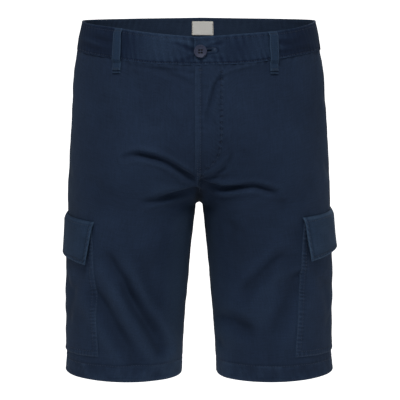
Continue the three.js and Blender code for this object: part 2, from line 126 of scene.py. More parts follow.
def formAt(x, z, face):  # the garment's plain form: a point, its outward normal, and its share of the full depth
    power = garment["roundness"]
    step = 0.4
    off = standOffAt(z, face)
    share = swell(x, z, face) ** (1 / power)

    def level(px, pz):
        return standOffAt(pz, face) ** power * swell(px, pz, face)

    gx = -(level(x + step, z) - level(x - step, z)) / (2 * step)
    gz = -(level(x, z + step) - level(x, z - step)) / (2 * step)
    gy = power * np.maximum(off * share, 1e-6) ** (power - 1)
    normal = np.stack([gx, face * gy, gz], axis=-1)
    normal /= np.linalg.norm(normal, axis=-1, keepdims=True)
    return np.stack([x, face * off * share, z], axis=-1), normal, share


# The cloth's creases on each side: depth, half width, ridge beside it, strength at its two ends, and its line.
# A negative depth makes a ridge.
creases = {
    front: [
        (6.3, 3.7, 0.4, 0.5, 0.4, [(-7, -213), (-22, -203), (-36, -194), (-53, -186), (-69, -182), (-81, -180),
                                   (-99, -183)]),
        (6.8, 3.5, 0.4, 0.6, 0.3, [(3, -217), (14, -223), (31, -227), (46, -225.5), (60, -223.5), (74, -222.5),
                                    (88, -226), (103, -231)]),
        (5.2, 3.8, 0.3, 0.5, 0.12, [(-5, -228), (-23, -233.5), (-41, -237.5), (-59, -241.5), (-76, -244.5)]),
        (-2.6, 6, 0, 0.15, 0.9, [(-65, -229), (-38, -225), (-9, -219)]),
        (2.2, 3, 0.4, 0.1, 0.8, [(45, -170), (44, -181), (40, -191), (31, -201), (20, -208), (5, -213)]),
        (-1.4, 3.6, 0, 0.3, 1, [(36, -183), (26, -194), (15, -202), (6, -206)]),
        (1.7, 2.2, 0.4, 0.6, 0.1, [(3, -212), (14, -213), (26, -211), (38, -211)]),
        (1.3, 2, 0.4, 0.6, 0.1, [(-4, -219), (-16, -218), (-30, -221)]),
        (1.2, 2, 0.4, 0.6, 0.1, [(3, -222), (10, -229), (20, -237)]),
        (2.6, 4.5, 0, 0.1, 1, [(0, -228), (0, -242), (0, -256)]),
        (2.4, 7, 0.2, 0.5, 0.2, [(98, -237), (109, -243), (121, -253)]),
        (1.6, 8, 0.2, 0.3, 0.3, [(55, -183), (62, -178), (69, -175)]),
        (9, 8.2, 0.35, 0.1, 0.85, [(-126, -312), (-112, -339), (-103, -353), (-96, -369), (-88, -383), (-79, -399),
                                    (-69, -415), (-61, -428), (-50, -449)]),
        (8, 9.4, 0.35, 0.25, 0.6, [(-144, -362), (-137, -377), (-128, -392), (-120, -408), (-112, -423), (-103, -437),
                                  (-94, -452), (-86, -466)]),
        (2.6, 9, 0.2, 0.3, 0.1, [(-76, -320), (-70, -343), (-63, -363), (-53, -388)]),
        (5.8, 9.6, 0.3, 0.5, 0.12, [(20, -411), (30, -411), (42, -412), (56, -417), (80, -429)]),
        (5.2, 7.6, 0.3, 0.3, 0.15, [(125, -321), (111, -320), (98, -330), (91, -338), (81, -349), (70, -360),
                                    (55, -384)]),
        (4.6, 11, 0.3, 0.2, 0.3, [(137, -351), (129, -362), (122, -374), (118, -389), (112, -406), (104, -422),
                                   (97, -436), (88, -453)]),
        (2.2, 5, 0.2, 1, 0.3, [(136, -345), (130, -349), (126, -354)]),
        (2, 5, 0.2, 0.2, 0.2, [(28, -438), (30, -452)]),
        (1.8, 6, 0.2, 0.2, 0.2, [(39, -269), (49, -286)]),
        (2, 12, 0, 1, 1, [(-4, -231), (4, -230)]),
        (2.6, 3.2, 0.5, 0.9, 0.2, [(29, -77), (23, -88), (19, -102), (16, -115), (13, -125), (13, -139)]),
        (-2.2, 3.4, 0, 0.9, 0.2, [(32, -72), (55, -64), (80, -59)]),
        (1.1, 2.4, 0.4, 0.25, 0.9, [(-103, -59), (-71, -64), (-42, -67), (-8, -71)]),
        (1.5, 3.4, 0.4, 0.1, 0.9, [(-66, -66), (-46, -70), (-29, -76), (-8, -89)]),
        (1.6, 12, 0.2, 0.1, 0.1, [(-150, -92), (-128, -118), (-119, -160)]),
        (1.4, 12, 0.2, 0.1, 0.1, [(150, -86), (134, -112), (126, -150)]),
        (1.8, 11, 0.2, 0.2, 0.1, [(-154, -206), (-128, -232), (-96, -262)]),
        (1.8, 11, 0.2, 0.2, 0.1, [(152, -212), (128, -240), (92, -268)]),
    ],
    back: [
        (7, 7.5, 0.35, 1.0, 0.15, [(5, -214), (24, -226), (52, -236), (84, -238), (116, -231)]),
        (6.6, 7.5, 0.35, 1.0, 0.15, [(-5, -211), (-27, -225), (-60, -234), (-92, -241), (-118, -240)]),
        (4.2, 7, 0.3, 1.0, 0.1, [(4, -198), (22, -196), (50, -204), (76, -214)]),
        (3.8, 7, 0.3, 1.0, 0.1, [(-4, -194), (-26, -195), (-48, -205), (-66, -217)]),
        (4.6, 8, 0.3, 1.0, 0.1, [(6, -236), (20, -250), (44, -262), (70, -266)]),
        (4.2, 8, 0.3, 1.0, 0.1, [(-6, -237), (-23, -252), (-50, -264), (-78, -270)]),
        (7.6, 10, 0.35, 0.2, 0.4, [(124, -288), (108, -322), (88, -352), (70, -392), (50, -450)]),
        (7.2, 10, 0.35, 0.2, 0.4, [(-36, -296), (-58, -330), (-76, -360), (-98, -396), (-120, -440)]),
        (4.4, 9, 0.3, 0.2, 0.2, [(34, -318), (58, -338), (86, -344)]),
        (4.6, 9, 0.3, 0.2, 0.2, [(-136, -356), (-112, -372), (-86, -376), (-58, -366)]),
        (4.4, 9, 0.3, 0.2, 0.2, [(130, -392), (106, -414), (84, -446)]),
        (3.8, 9, 0.3, 0.2, 0.2, [(-52, -416), (-74, -434), (-88, -458)]),
        (2.2, 8, 0.2, 0.1, 0.1, [(-96, -70), (-72, -96), (-38, -112)]),
        (2.2, 8, 0.2, 0.1, 0.1, [(104, -66), (84, -94), (50, -116)]),
        (2, 7, 0.2, 0.4, 0.1, [(8, -62), (12, -92), (26, -124)]),
    ],
}
# The same on the sides, with the distance round from the side seam in place of x, front negative.
sideCreases = {
    left: [
        (3.6, 8.5, 0.35, 0.3, 0.1, [(-52, -352), (-18, -366), (16, -366), (46, -356)]),
        (3.2, 8.5, 0.3, 0.1, 0.2, [(-44, -420), (-10, -404), (24, -392), (54, -394)]),
        (2.8, 9, 0.3, 0.1, 0.1, [(-40, -196), (-8, -214), (30, -222)]),
        (2.8, 8, 0.3, 0.1, 0.1, [(-30, -96), (-4, -112), (26, -110)]),
        (2.8, 8, 0.3, 0.1, 0.1, [(-12, -436), (14, -446), (36, -444)]),
        (5, 8, 0.35, 0.6, 0.2, [(84, -322), (66, -344), (44, -372), (30, -408)]),
        (4.4, 8, 0.35, 0.2, 0.2, [(78, -372), (60, -396), (48, -430)]),
        (1.4, 7.5, 0.35, 0.6, 0.2, [(-74, -328), (-60, -348), (-44, -378), (-34, -410)]),
        (3.6, 9, 0.3, 0.1, 0.1, [(78, -150), (52, -178), (34, -222)]),
    ],
    right: [
        (3.4, 8.5, 0.35, 0.2, 0.1, [(-50, -376), (-20, -358), (14, -350), (44, -354)]),
        (3.2, 8.5, 0.3, 0.1, 0.2, [(-46, -404), (-14, -414), (20, -408), (50, -396)]),
        (2.8, 9, 0.3, 0.1, 0.1, [(-34, -214), (0, -204), (34, -208)]),
        (2.8, 8, 0.3, 0.1, 0.1, [(-28, -118), (2, -104), (30, -104)]),
        (2.6, 8, 0.3, 0.1, 0.1, [(-20, -448), (8, -440), (34, -446)]),
        (5, 8, 0.35, 0.6, 0.2, [(82, -330), (64, -352), (48, -384), (28, -414)]),
        (4.2, 8, 0.35, 0.2, 0.2, [(84, -388), (62, -404), (44, -440)]),
        (1.4, 7.5, 0.35, 0.6, 0.2, [(-76, -336), (-58, -352), (-42, -388), (-32, -424)]),
        (3.6, 9, 0.3, 0.1, 0.1, [(74, -138), (56, -170), (36, -212)]),
    ],
}


def troughs(a, b, rows):  # the relief of creases in a plane with coordinates a and b
    relief = np.zeros(a.shape)
    for depth, width, ridge, start, end, line in rows:
        steps = [math.hypot(p[0] - q[0], p[1] - q[1]) for p, q in zip(line[1:], line)]
        lengths = np.concatenate([[0], np.cumsum(steps)])
        table = [(s, *p) for s, p in zip(lengths, line)]
        at = np.linspace(0, lengths[-1], 4 * len(line))
        ca, cb = (readTable(table, 1, at), readTable(table, 2, at)) if len(line) > 2 else (
            np.interp(at, lengths, [p[0] for p in line]), np.interp(at, lengths, [p[1] for p in line]))
        reach = 4 * width
        near = (a > ca.min() - reach) & (a < ca.max() + reach) & (b > cb.min() - reach) & (b < cb.max() + reach)
        if not near.any():
            continue
        pa, pb = a[near], b[near]
        nearest, along = np.full(pa.shape, 1e9), np.zeros(pa.shape)
        for k in range(len(at) - 1):
            da, db = ca[k + 1] - ca[k], cb[k + 1] - cb[k]
            t = np.clip(((pa - ca[k]) * da + (pb - cb[k]) * db) / (da * da + db * db + 1e-9), 0, 1)
            d = np.hypot(pa - ca[k] - t * da, pb - cb[k] - t * db)
            closer = d < nearest
            nearest = np.where(closer, d, nearest)
            along = np.where(closer, (k + t) / (len(at) - 1), along)
        strength = mix(start, end, along) + (1 - mix(start, end, along)) * np.sin(np.pi * along) ** 0.8
        uneven = 1 + 0.18 * np.sin(along * lengths[-1] / 9 + depth * 7)
        trough = bell(nearest, width * (0.85 + 0.3 * along)) - ridge * bell(nearest - 2.1 * width, width)
        relief[near] -= depth * strength * uneven * trough
    return relief


def waves(points, seed, shortest, longest, count=16):  # an even, unordered rippling of about 1 either way
    picker = np.random.default_rng(seed)
    total = np.zeros(points.shape[:-1])
    for _ in range(count):
        direction = picker.normal(size=3)
        direction /= np.linalg.norm(direction)
        length = shortest * (longest / shortest) ** picker.random()
        total += np.sin(points @ direction * (2 * math.pi / length) + picker.random() * 2 * math.pi)
    return total / math.sqrt(count)


def turnAt(x, z):  # how far round a leg from the side seam, 0, to the inseam, 1
    inner = innerEdgeAt(z)
    share = np.clip((np.abs(x) - inner) / (halfWidthAt(z) - inner), 0, 1)
    return np.arccos(np.clip(2 * share - 1, -1, 1)) / np.pi


def clothAt(x, z, face, lift=0.0, firmness=0.0):  # a point on the creased cloth, moved out by lift
    point, normal, share = formAt(x, z, face)
    full = smooth(share * 1.5)
    relief = troughs(x, z, creases[face]) * full
    around = face * turnAt(x, z) * 262
    sides = np.where(x > 0, troughs(around, z, sideCreases[left]), troughs(around, z, sideCreases[right]))
    relief += sides * smooth((0.62 - np.abs(around) / 262) / 0.2) * (1 - 0.92 * bell(around, 24))
    relief += 0.5 * waves(point, 3, 55, 170) + 0.16 * waves(point, 8, 16, 42) + 0.06 * waves(point, 5, 6, 14)
    relief *= 1 - firmness
    return point + normal * (relief + lift)[..., None], normal, relief


def legSpot(side, turn, z, lift=0.0, firmness=0.0):  # a place by its turn from the side seam, front negative
    inner = innerEdgeAt(z)
    x = side * (inner + (halfWidthAt(z) - inner) * (1 + np.cos(np.pi * turn)) / 2)
    frontSpot = clothAt(x, z, front, lift, firmness)
    backSpot = clothAt(x, z, back, lift, firmness)
    isFront = turn < 0
    return tuple(
        np.where(isFront[..., None] if a.ndim > turn.ndim else isFront, a, b) for a, b in zip(frontSpot, backSpot)
    )


def lengthsAlong(points, axis):  # the distance from the first row or column of a grid
    steps = np.linalg.norm(np.diff(points, axis=axis), axis=-1)
    zero = np.zeros_like(np.take(steps, [0], axis=axis))
    return np.concatenate([zero, np.cumsum(steps, axis=axis)], axis=axis)


def spread(start, end, spacing, closeUps=()):  # values from start to end, closer together near some places
    fine = np.linspace(start, end, 4000)
    density = np.ones_like(fine) / spacing
    for place, width, gain in closeUps:
        density *= 1 + gain * bell(fine - place, width)
    total = np.concatenate([[0], np.cumsum((density[1:] + density[:-1]) / 2 * np.abs(np.diff(fine)))])
    count = max(int(round(total[-1])), 2)
    return np.interp(np.linspace(0, total[-1], count + 1), total, fine)


# Lays a grid of cloth: across and up are the values of its columns and rows, and place gives points, outward
# normals and a value of abrasion with painted light and shade for them.
def layCloth(name, across, up, place, materials, thickness=1.1, rim=0.0, rimSteps=2):
    columns, rows = len(across) - 1, len(up) - 1
    bm = bmesh.new()
    bmesh.ops.create_grid(bm, x_segments=columns, y_segments=rows, size=0.5)
    mesh = bpy.data.meshes.new(name)
    bm.to_mesh(mesh)
    bm.free()
    co = np.empty(len(mesh.vertices) * 3, np.float32)
    mesh.vertices.foreach_get("co", co)
    co = co.reshape(-1, 3)
    i = np.rint((co[:, 0] - co[:, 0].min()) / np.ptp(co[:, 0]) * columns).astype(int)
    j = np.rint((co[:, 1] - co[:, 1].min()) / np.ptp(co[:, 1]) * rows).astype(int)
    u, v = np.meshgrid(across, up)
    points, normals, wearAndShading = place(u, v)
    uLength, vLength = lengthsAlong(points, 1), lengthsAlong(points, 0)
    mesh.vertices.foreach_set("co", (points[j, i] / 1000).astype(np.float32).ravel())
    slant = np.cross(points[1:, 1:] - points[:-1, :-1], points[1:, :-1] - points[:-1, 1:])
    if (slant * normals[:-1, :-1]).sum() < 0:
        mesh.flip_normals()
    mesh.update()
    loops = np.empty(len(mesh.loops), np.int32)
    mesh.loops.foreach_get("vertex_index", loops)
    layer = mesh.uv_layers.new(name="weave")
    flat = np.stack([uLength[j, i], vLength[j, i]], axis=-1) / 1000
    layer.data.foreach_set("uv", flat[loops].astype(np.float32).ravel())
    wornAndShading = mesh.attributes.new("wearAndShading", "FLOAT", "POINT")
    wornAndShading.data.foreach_set("value", wearAndShading[j, i].astype(np.float32))
    mesh.shade_smooth()
    for material in materials:
        mesh.materials.append(material)
    piece = bpy.data.objects.new(name, mesh)
    bpy.context.scene.collection.objects.link(piece)
    shell = piece.modifiers.new("thickness", "SOLIDIFY")
    shell.thickness = thickness / 1000
    shell.offset = -1
    shell.use_even_offset = False
    if len(materials) > 1:
        shell.material_offset = 1
    if rim:
        bevel = piece.modifiers.new("rim", "BEVEL")
        bevel.width = rim / 1000
        bevel.segments = rimSteps
        bevel.limit_method = "ANGLE"
        bevel.angle_limit = math.radians(62)
        bevel.harden_normals = False
    cloth = {"piece": piece, "points": points, "across": across, "up": up}
    cloth["area"] = float(np.linalg.norm(slant, axis=-1).sum() / 2e6)
    return cloth


def gridNormals(cloth):
    if "normals" not in cloth:
        points = cloth["points"]
        du = np.gradient(points, axis=1)
        dv = np.gradient(points, axis=0)
        normals = np.cross(du, dv)
        normals /= np.linalg.norm(normals, axis=-1, keepdims=True) + 1e-12
        polygon = cloth["piece"].data.polygons[0].normal
        if float(normals[0, 0] @ np.array(polygon)) < 0:
            normals = -normals
        cloth["normals"] = normals
    return cloth["normals"]


def onCloth(cloth, u, v):  # points and normals of laid cloth at column value u and row value v
    normals = gridNormals(cloth)

    def indexOf(values, at):
        order = np.arange(len(values), dtype=float)
        return np.interp(at, values, order) if values[-1] > values[0] else np.interp(-at, -values, order)

    ci, rj = indexOf(cloth["across"], u), indexOf(cloth["up"], v)
    i0 = np.clip(ci.astype(int), 0, len(cloth["across"]) - 2)
    j0 = np.clip(rj.astype(int), 0, len(cloth["up"]) - 2)
    ti, tj = (ci - i0)[..., None], (rj - j0)[..., None]

    def blend(grid):
        return mix(mix(grid[j0, i0], grid[j0, i0 + 1], ti), mix(grid[j0 + 1, i0], grid[j0 + 1, i0 + 1], ti), tj)

    return blend(cloth["points"]), blend(normals)


def finishPiece(piece, nodes):
    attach(piece, "root")
    if nodes:
        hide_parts(*nodes)


# Materials. Colours are sRGB hex, and scales come from sizes in millimetres on coordinates in metres.
def hexColour(code):
    parts = [int(code[k:k + 2], 16) / 255 for k in (0, 2, 4)]
    return [p / 12.92 if p <= 0.04045 else ((p + 0.055) / 1.055) ** 2.4 for p in parts] + [1.0]


def addNode(tree, kind, settings=None, inputs=None):
    node = tree.nodes.new(kind)
    for key, value in (settings or {}).items():
        setattr(node, key, value)
    for key, value in (inputs or {}).items():
        if isinstance(value, bpy.types.NodeSocket):
            tree.links.new(value, node.inputs[key])
        else:
            node.inputs[key].default_value = value
    return node


def newMaterial(name):
    material = bpy.data.materials.new(name)
    material.use_nodes = True
    material.node_tree.nodes.clear()
    return material, material.node_tree


twill = {
    "ribPitch": 1.3,  # real twill ribs are 0.6 mm apart, drawn at twice that so that they show in the render
    "ribDepth": 0.11,
    "slubWidth": 2.2, "slubLength": 24,  # thicker yarns along the warp and the weft
    "washPatch": 85,  # lighter and darker clouds left by garment washing
    "grain": 1.1,
}


# Garment-washed cotton twill: piece-dyed navy yarn, matt, with ridges and edges lightened by the wash, and a soft
# bloom of fibre ends that brightens it where it turns away. Its lighter colour also carries painted light, and its
# deepest colour carries dye retained in hollows together with painted shade.
def twillMaterial(name, unfadedAndShade, deep, mid, fadedAndLit, bloom=0.05):
    material, tree = newMaterial(name)
    place = addNode(tree, "ShaderNodeTexCoord").outputs["Object"]
    weaveMap = addNode(tree, "ShaderNodeUVMap", {"uv_map": "weave"}).outputs["UV"]
    wearAndShading = addNode(tree, "ShaderNodeAttribute", {"attribute_name": "wearAndShading"}).outputs["Fac"]
    clouds = addNode(tree, "ShaderNodeTexNoise", {}, {
        "Vector": place, "Scale": 1000 / twill["washPatch"], "Detail": 5, "Roughness": 0.62})
    grain = addNode(tree, "ShaderNodeTexNoise", {}, {
        "Vector": weaveMap, "Scale": 1000 / twill["grain"] / 2, "Detail": 2, "Roughness": 0.6})
    narrow, long = 1000 / twill["slubWidth"], 1000 / twill["slubLength"]
    warp, weft = (addNode(tree, "ShaderNodeTexNoise", {}, {
        "Vector": addNode(tree, "ShaderNodeMapping", {}, {"Vector": weaveMap, "Scale": scale}).outputs[0],
        "Scale": 1.0, "Detail": 2, "Roughness": 0.6}) for scale in ((narrow, long, 1), (long, narrow, 1)))
    slubs = addNode(tree, "ShaderNodeMath", {"operation": "ADD"}, {0: warp.outputs["Fac"], 1: weft.outputs["Fac"]})
    turned = addNode(tree, "ShaderNodeMapping", {}, {"Vector": weaveMap, "Rotation": (0, 0, math.radians(-58))})
    ribs = addNode(tree, "ShaderNodeTexWave", {"wave_type": "BANDS", "bands_direction": "X"}, {
        "Vector": turned.outputs[0], "Scale": 314 / twill["ribPitch"] , "Distortion": 0.7, "Detail": 1,
        "Detail Scale": 2.0})
    washed = addNode(tree, "ShaderNodeMapRange", {}, {
        "Value": clouds.outputs["Fac"], "From Min": 0.3, "From Max": 0.7, "To Min": 0.1, "To Max": 0.9})
    ground = addNode(tree, "ShaderNodeMix", {"data_type": "RGBA"}, {
        0: washed.outputs[0], 6: hexColour(deep), 7: hexColour(mid)})
    yarn = addNode(tree, "ShaderNodeMath", {"operation": "ADD"}, {0: slubs.outputs[0], 1: grain.outputs["Fac"]})
    yarnShade = addNode(tree, "ShaderNodeMapRange", {}, {
        "Value": yarn.outputs[0], "From Min": 1.1, "From Max": 1.9, "To Min": 0.8, "To Max": 1.2})
    shaded = addNode(tree, "ShaderNodeVectorMath", {"operation": "SCALE"}, {
        0: ground.outputs[2], "Scale": yarnShade.outputs[0]})
    # Positive values lighten: abrasion on ridges and edges, plus painted light on the inner thighs, the waistband's
    # front and back and the left flap.
    rubbedAndLit = addNode(tree, "ShaderNodeMath", {"operation": "MULTIPLY", "use_clamp": True}, {
        0: wearAndShading, 1: addNode(tree, "ShaderNodeMapRange", {}, {
            "Value": grain.outputs["Fac"], "From Min": 0.3, "From Max": 0.7, "To Min": 0.45,
            "To Max": 1.0}).outputs[0]})
    wornAndShading = addNode(tree, "ShaderNodeMix", {"data_type": "RGBA"}, {
        0: rubbedAndLit.outputs[0], 6: shaded.outputs[0], 7: hexColour(fadedAndLit)})
    # Negative values deepen: dye retained in hollows, plus painted shade in seam grooves, crease hollows, stitch
    # holes, the buttonhole slit, the loop ends and the crotch.
    hollowAndShade = addNode(tree, "ShaderNodeMath", {"operation": "MULTIPLY", "use_clamp": True}, {0: wearAndShading, 1: -1.0})
    keptDyeAndShade = addNode(tree, "ShaderNodeMix", {"data_type": "RGBA"}, {
        0: hollowAndShade.outputs[0], 6: wornAndShading.outputs[2], 7: hexColour(unfadedAndShade)})
    relief = addNode(tree, "ShaderNodeMath", {"operation": "MULTIPLY_ADD"}, {
        0: ribs.outputs["Fac"], 1: 0.6, 2: addNode(tree, "ShaderNodeMath", {"operation": "MULTIPLY"}, {
            0: yarn.outputs[0], 1: 0.5}).outputs[0]})
    bump = addNode(tree, "ShaderNodeBump", {}, {
        "Height": relief.outputs[0], "Strength": 0.55, "Distance": twill["ribDepth"] / 1000})
    shader = addNode(tree, "ShaderNodeBsdfPrincipled", {}, {
        "Base Color": keptDyeAndShade.outputs[2], "Roughness": 0.88, "IOR": 1.5, "Specular IOR Level": 0.12,
        "Sheen Weight": bloom, "Sheen Roughness": 0.42, "Sheen Tint": hexColour("7f9db4"),
        "Normal": bump.outputs[0]})
    addNode(tree, "ShaderNodeOutputMaterial", {}, {"Surface": shader.outputs[0]})
    return material


navyTwill = twillMaterial("NavyCottonTwill", "0e1624", "182437", "1f2d43", "35475e")
bandTwill = twillMaterial("NavyCottonTwillBand", "091324", "0f1b30", "162338", "364a63")
flapTwill = twillMaterial("NavyCottonTwillFlap", "101a29", "1b2b3e", "22334a", "3d5168", 0.06)
innerTwill = twillMaterial("NavyCottonTwillInside", "111926", "1f2b3f", "273549", "34445a", 0.06)


# Spun polyester sewing thread: a slight gloss from its twist, a shade lighter than the cloth.
def threadMaterial(name, low, high):
    material, tree = newMaterial(name)
    place = addNode(tree, "ShaderNodeTexCoord").outputs["Object"]
    patches = addNode(tree, "ShaderNodeTexNoise", {}, {"Vector": place, "Scale": 1000 / 9, "Detail": 2})
    tone = addNode(tree, "ShaderNodeMix", {"data_type": "RGBA"}, {
        0: patches.outputs["Fac"], 6: hexColour(low), 7: hexColour(high)})
    twist = addNode(tree, "ShaderNodeTexWave", {"bands_direction": "DIAGONAL"}, {
        "Vector": place, "Scale": 628 / 0.8, "Distortion": 1.0})
    bump = addNode(tree, "ShaderNodeBump", {}, {"Height": twist.outputs["Fac"], "Strength": 0.3, "Distance": 0.0001})
    shader = addNode(tree, "ShaderNodeBsdfPrincipled", {}, {
        "Base Color": tone.outputs[2], "Roughness": 0.7, "Specular IOR Level": 0.2, "Sheen Weight": 0.04,
        "Normal": bump.outputs[0]})
    addNode(tree, "ShaderNodeOutputMaterial", {}, {"Surface": shader.outputs[0]})
    return material


seamThread = threadMaterial("NavyPolyesterThread", "18222f", "25334a")
darkThread = threadMaterial("DarkPolyesterThread", "090c13", "10151f")
paleThread = threadMaterial("PaleBlueTackThread", "2e3b4f", "42526a")


# Cast polyester button: satin from tumbling, with faint clouding through it and fine scuffs.
def buttonMaterial():
    material, tree = newMaterial("CastPolyesterButton")
    place = addNode(tree, "ShaderNodeTexCoord").outputs["Object"]
    clouds = addNode(tree, "ShaderNodeTexNoise", {}, {
        "Vector": place, "Scale": 1000 / 6, "Detail": 3, "Distortion": 1.2})
    tone = addNode(tree, "ShaderNodeMix", {"data_type": "RGBA"}, {
        0: clouds.outputs["Fac"], 6: hexColour("242a40"), 7: hexColour("30364d")})
    scuffs = addNode(tree, "ShaderNodeTexNoise", {}, {"Vector": place, "Scale": 1000 / 0.7, "Detail": 3})
    gloss = addNode(tree, "ShaderNodeMapRange", {}, {
        "Value": scuffs.outputs["Fac"], "From Min": 0.3, "From Max": 0.7, "To Min": 0.58, "To Max": 0.72})
    bump = addNode(tree, "ShaderNodeBump", {}, {
        "Height": scuffs.outputs["Fac"], "Strength": 0.2, "Distance": 0.00005})
    shader = addNode(tree, "ShaderNodeBsdfPrincipled", {}, {
        "Base Color": tone.outputs[2], "Roughness": gloss.outputs[0], "IOR": 1.55, "Specular IOR Level": 0.32,
        "Normal": bump.outputs[0]})
    addNode(tree, "ShaderNodeOutputMaterial", {}, {"Surface": shader.outputs[0]})
    return material


# Woven polyester label tape: a fine plain rib across it, matt, with slightly yellowed edges.
def labelMaterial():
    material, tree = newMaterial("WovenLabelTape")
    weaveMap = addNode(tree, "ShaderNodeUVMap", {"uv_map": "weave"}).outputs["UV"]
    wearAndShading = addNode(tree, "ShaderNodeAttribute", {"attribute_name": "wearAndShading"}).outputs["Fac"]
    rib = addNode(tree, "ShaderNodeTexWave", {"bands_direction": "Y"}, {
        "Vector": weaveMap, "Scale": 314 / 0.8, "Distortion": 0.3})  # real picks are 0.25 mm apart, drawn coarser
    tone = addNode(tree, "ShaderNodeMix", {"data_type": "RGBA"}, {
        0: rib.outputs["Fac"], 6: hexColour("dcdad4"), 7: hexColour("f2f0ea")})
    aged = addNode(tree, "ShaderNodeMix", {"data_type": "RGBA"}, {
        0: wearAndShading, 6: tone.outputs[2], 7: hexColour("b9b4a6")})
    bump = addNode(tree, "ShaderNodeBump", {}, {"Height": rib.outputs["Fac"], "Strength": 0.5, "Distance": 0.0001})
    shader = addNode(tree, "ShaderNodeBsdfPrincipled", {}, {
        "Base Color": aged.outputs[2], "Roughness": 0.72, "Specular IOR Level": 0.3, "Sheen Weight": 0.1,
        "Normal": bump.outputs[0]})
    addNode(tree, "ShaderNodeOutputMaterial", {}, {"Surface": shader.outputs[0]})
    return material


castButton, labelTape = buttonMaterial(), labelMaterial()
print("materials made")


# Sewing. A row of stitches is one joined mesh of small lens-shaped threads laid along paths on the cloth.
stitch = {"length": 2.7, "width": 0.95, "height": 0.5, "pitch": 3.7, "sunk": 0.14}


def stitchTemplate():
    bm = bmesh.new()
    bmesh.ops.create_icosphere(bm, subdivisions=1, radius=0.5)
    corners = np.array([v.co for v in bm.verts])
    faces = np.array([[v.index for v in f.verts] for f in bm.faces])
    bm.free()
    return corners, faces


# paths is a list of (cloth, u values, v values, options), where options may give pitch, length, width and turned.
def sewRows(name, paths, material=None):
    corners, faces = stitchTemplate()
    allCorners, allFaces, count = [], [], 0
    picker = np.random.default_rng(11)
    for cloth, u, v, options in paths:
        u, v = np.broadcast_arrays(np.asarray(u, float), np.asarray(v, float))
        points, normals = onCloth(cloth, u, v)
        run = lengthsAlong(points, 0)
        pitch = options.get("pitch", stitch["pitch"])
        number = int(run[-1] / pitch)
        if number < 1:
            continue
        at = (np.arange(number) + 0.5) * run[-1] / number
        centre = np.stack([np.interp(at, run, points[:, k]) for k in range(3)], axis=-1)
        ahead = np.stack([np.interp(at + 0.6, run, points[:, k]) - np.interp(at - 0.6, run, points[:, k])
                          for k in range(3)], axis=-1)
        normal = np.stack([np.interp(at, run, normals[:, k]) for k in range(3)], axis=-1)
        ahead /= np.linalg.norm(ahead, axis=-1, keepdims=True) + 1e-9
        side = np.cross(normal, ahead)
        side /= np.linalg.norm(side, axis=-1, keepdims=True) + 1e-9
        normal = np.cross(ahead, side)
        if options.get("turned"):
            ahead, side = side, -ahead
        size = np.array([options.get("length", stitch["length"]), options.get("width", stitch["width"]),
                         options.get("height", stitch["height"])])
        scaled = corners * size
        lift = options.get("lift", stitch["height"] / 2 - stitch["sunk"] - 0.1)
        jitter = (picker.random((number, 1)) - 0.5) * 0.25
        centre = centre + normal * lift + side * jitter
        placed = (centre[:, None, :] + scaled[None, :, 0:1] * ahead[:, None, :]
                  + scaled[None, :, 1:2] * side[:, None, :] + scaled[None, :, 2:3] * normal[:, None, :])
        allCorners.append(placed.reshape(-1, 3))
        allFaces.append((faces[None] + (np.arange(number) * len(corners))[:, None, None]).reshape(-1, 3) + count)
        count += number * len(corners)
    mesh = bpy.data.meshes.new(name)
    mesh.from_pydata((np.concatenate(allCorners) / 1000).tolist(), [], np.concatenate(allFaces).tolist())
    mesh.shade_smooth()
    mesh.materials.append(material or seamThread)
    piece = bpy.data.objects.new(name, mesh)
    bpy.context.scene.collection.objects.link(piece)
    finishPiece(piece, [])
    return piece


def puckers(along, distance, pitch, reach, seed):  # how cloth ripples beside a seam
    drift = np.sin(along / (pitch * 1.3) + seed) * 0.9 + np.sin(along / (pitch * 3.1) + 2 * seed) * 2.4
    strength = 0.6 + 0.4 * np.sin(along / (pitch * 1.9) + 3 * seed) * np.sin(along / (pitch * 0.8) + seed)
    return np.sin(along * (2 * math.pi / pitch) + drift) * strength * np.exp(-np.abs(distance) / reach)


# The front and back panels, each from the waist seam to the hem, with the hem turned up inside.
panels = {
    "columns": {front: 160, back: 112},
    "rowSpacing": {front: 2.2, back: 3.0},
    "underWaistband": 3,
    "hem": {"level": -490, "side": 4, "inseam": -2, front: 4.5, back: 2, "depth": 20, "turn": 1.2},
    "pocketBottom": -459.5,
    "seamGroove": 0.8,
    "thickness": 1.1,
    "flat": {front: (0.285, 0.49), back: (0.31, 0.49)},
    "area": {front: 0.122, back: 0.131},
}


def heightAt(level, u, side, face):
    seam = readTable(waist[side], 2, u if face == front else 2 - u)
    toWaist = smooth((level + 165) / 120)
    hem = panels["hem"]
    line = mix(hem["inseam"], hem["side"], u) - hem[face] * np.sin(np.pi * u)
    toHem = np.clip((panels["pocketBottom"] - level) / (panels["pocketBottom"] - hem["level"]), 0, 1)
    return level + (seam + 45) * toWaist + line * toHem


def acrossAt(u, z, side, face):
    rise = garment["rise"][face]
    legs = smooth((garment["crotch"] + rise - z) / rise)
    share = mix(np.sin(np.pi / 2 * u), (1 - np.cos(np.pi * u)) / 2, legs)
    inner = innerEdgeAt(z)
    return side * (inner + (halfWidthAt(z) - inner) * share)


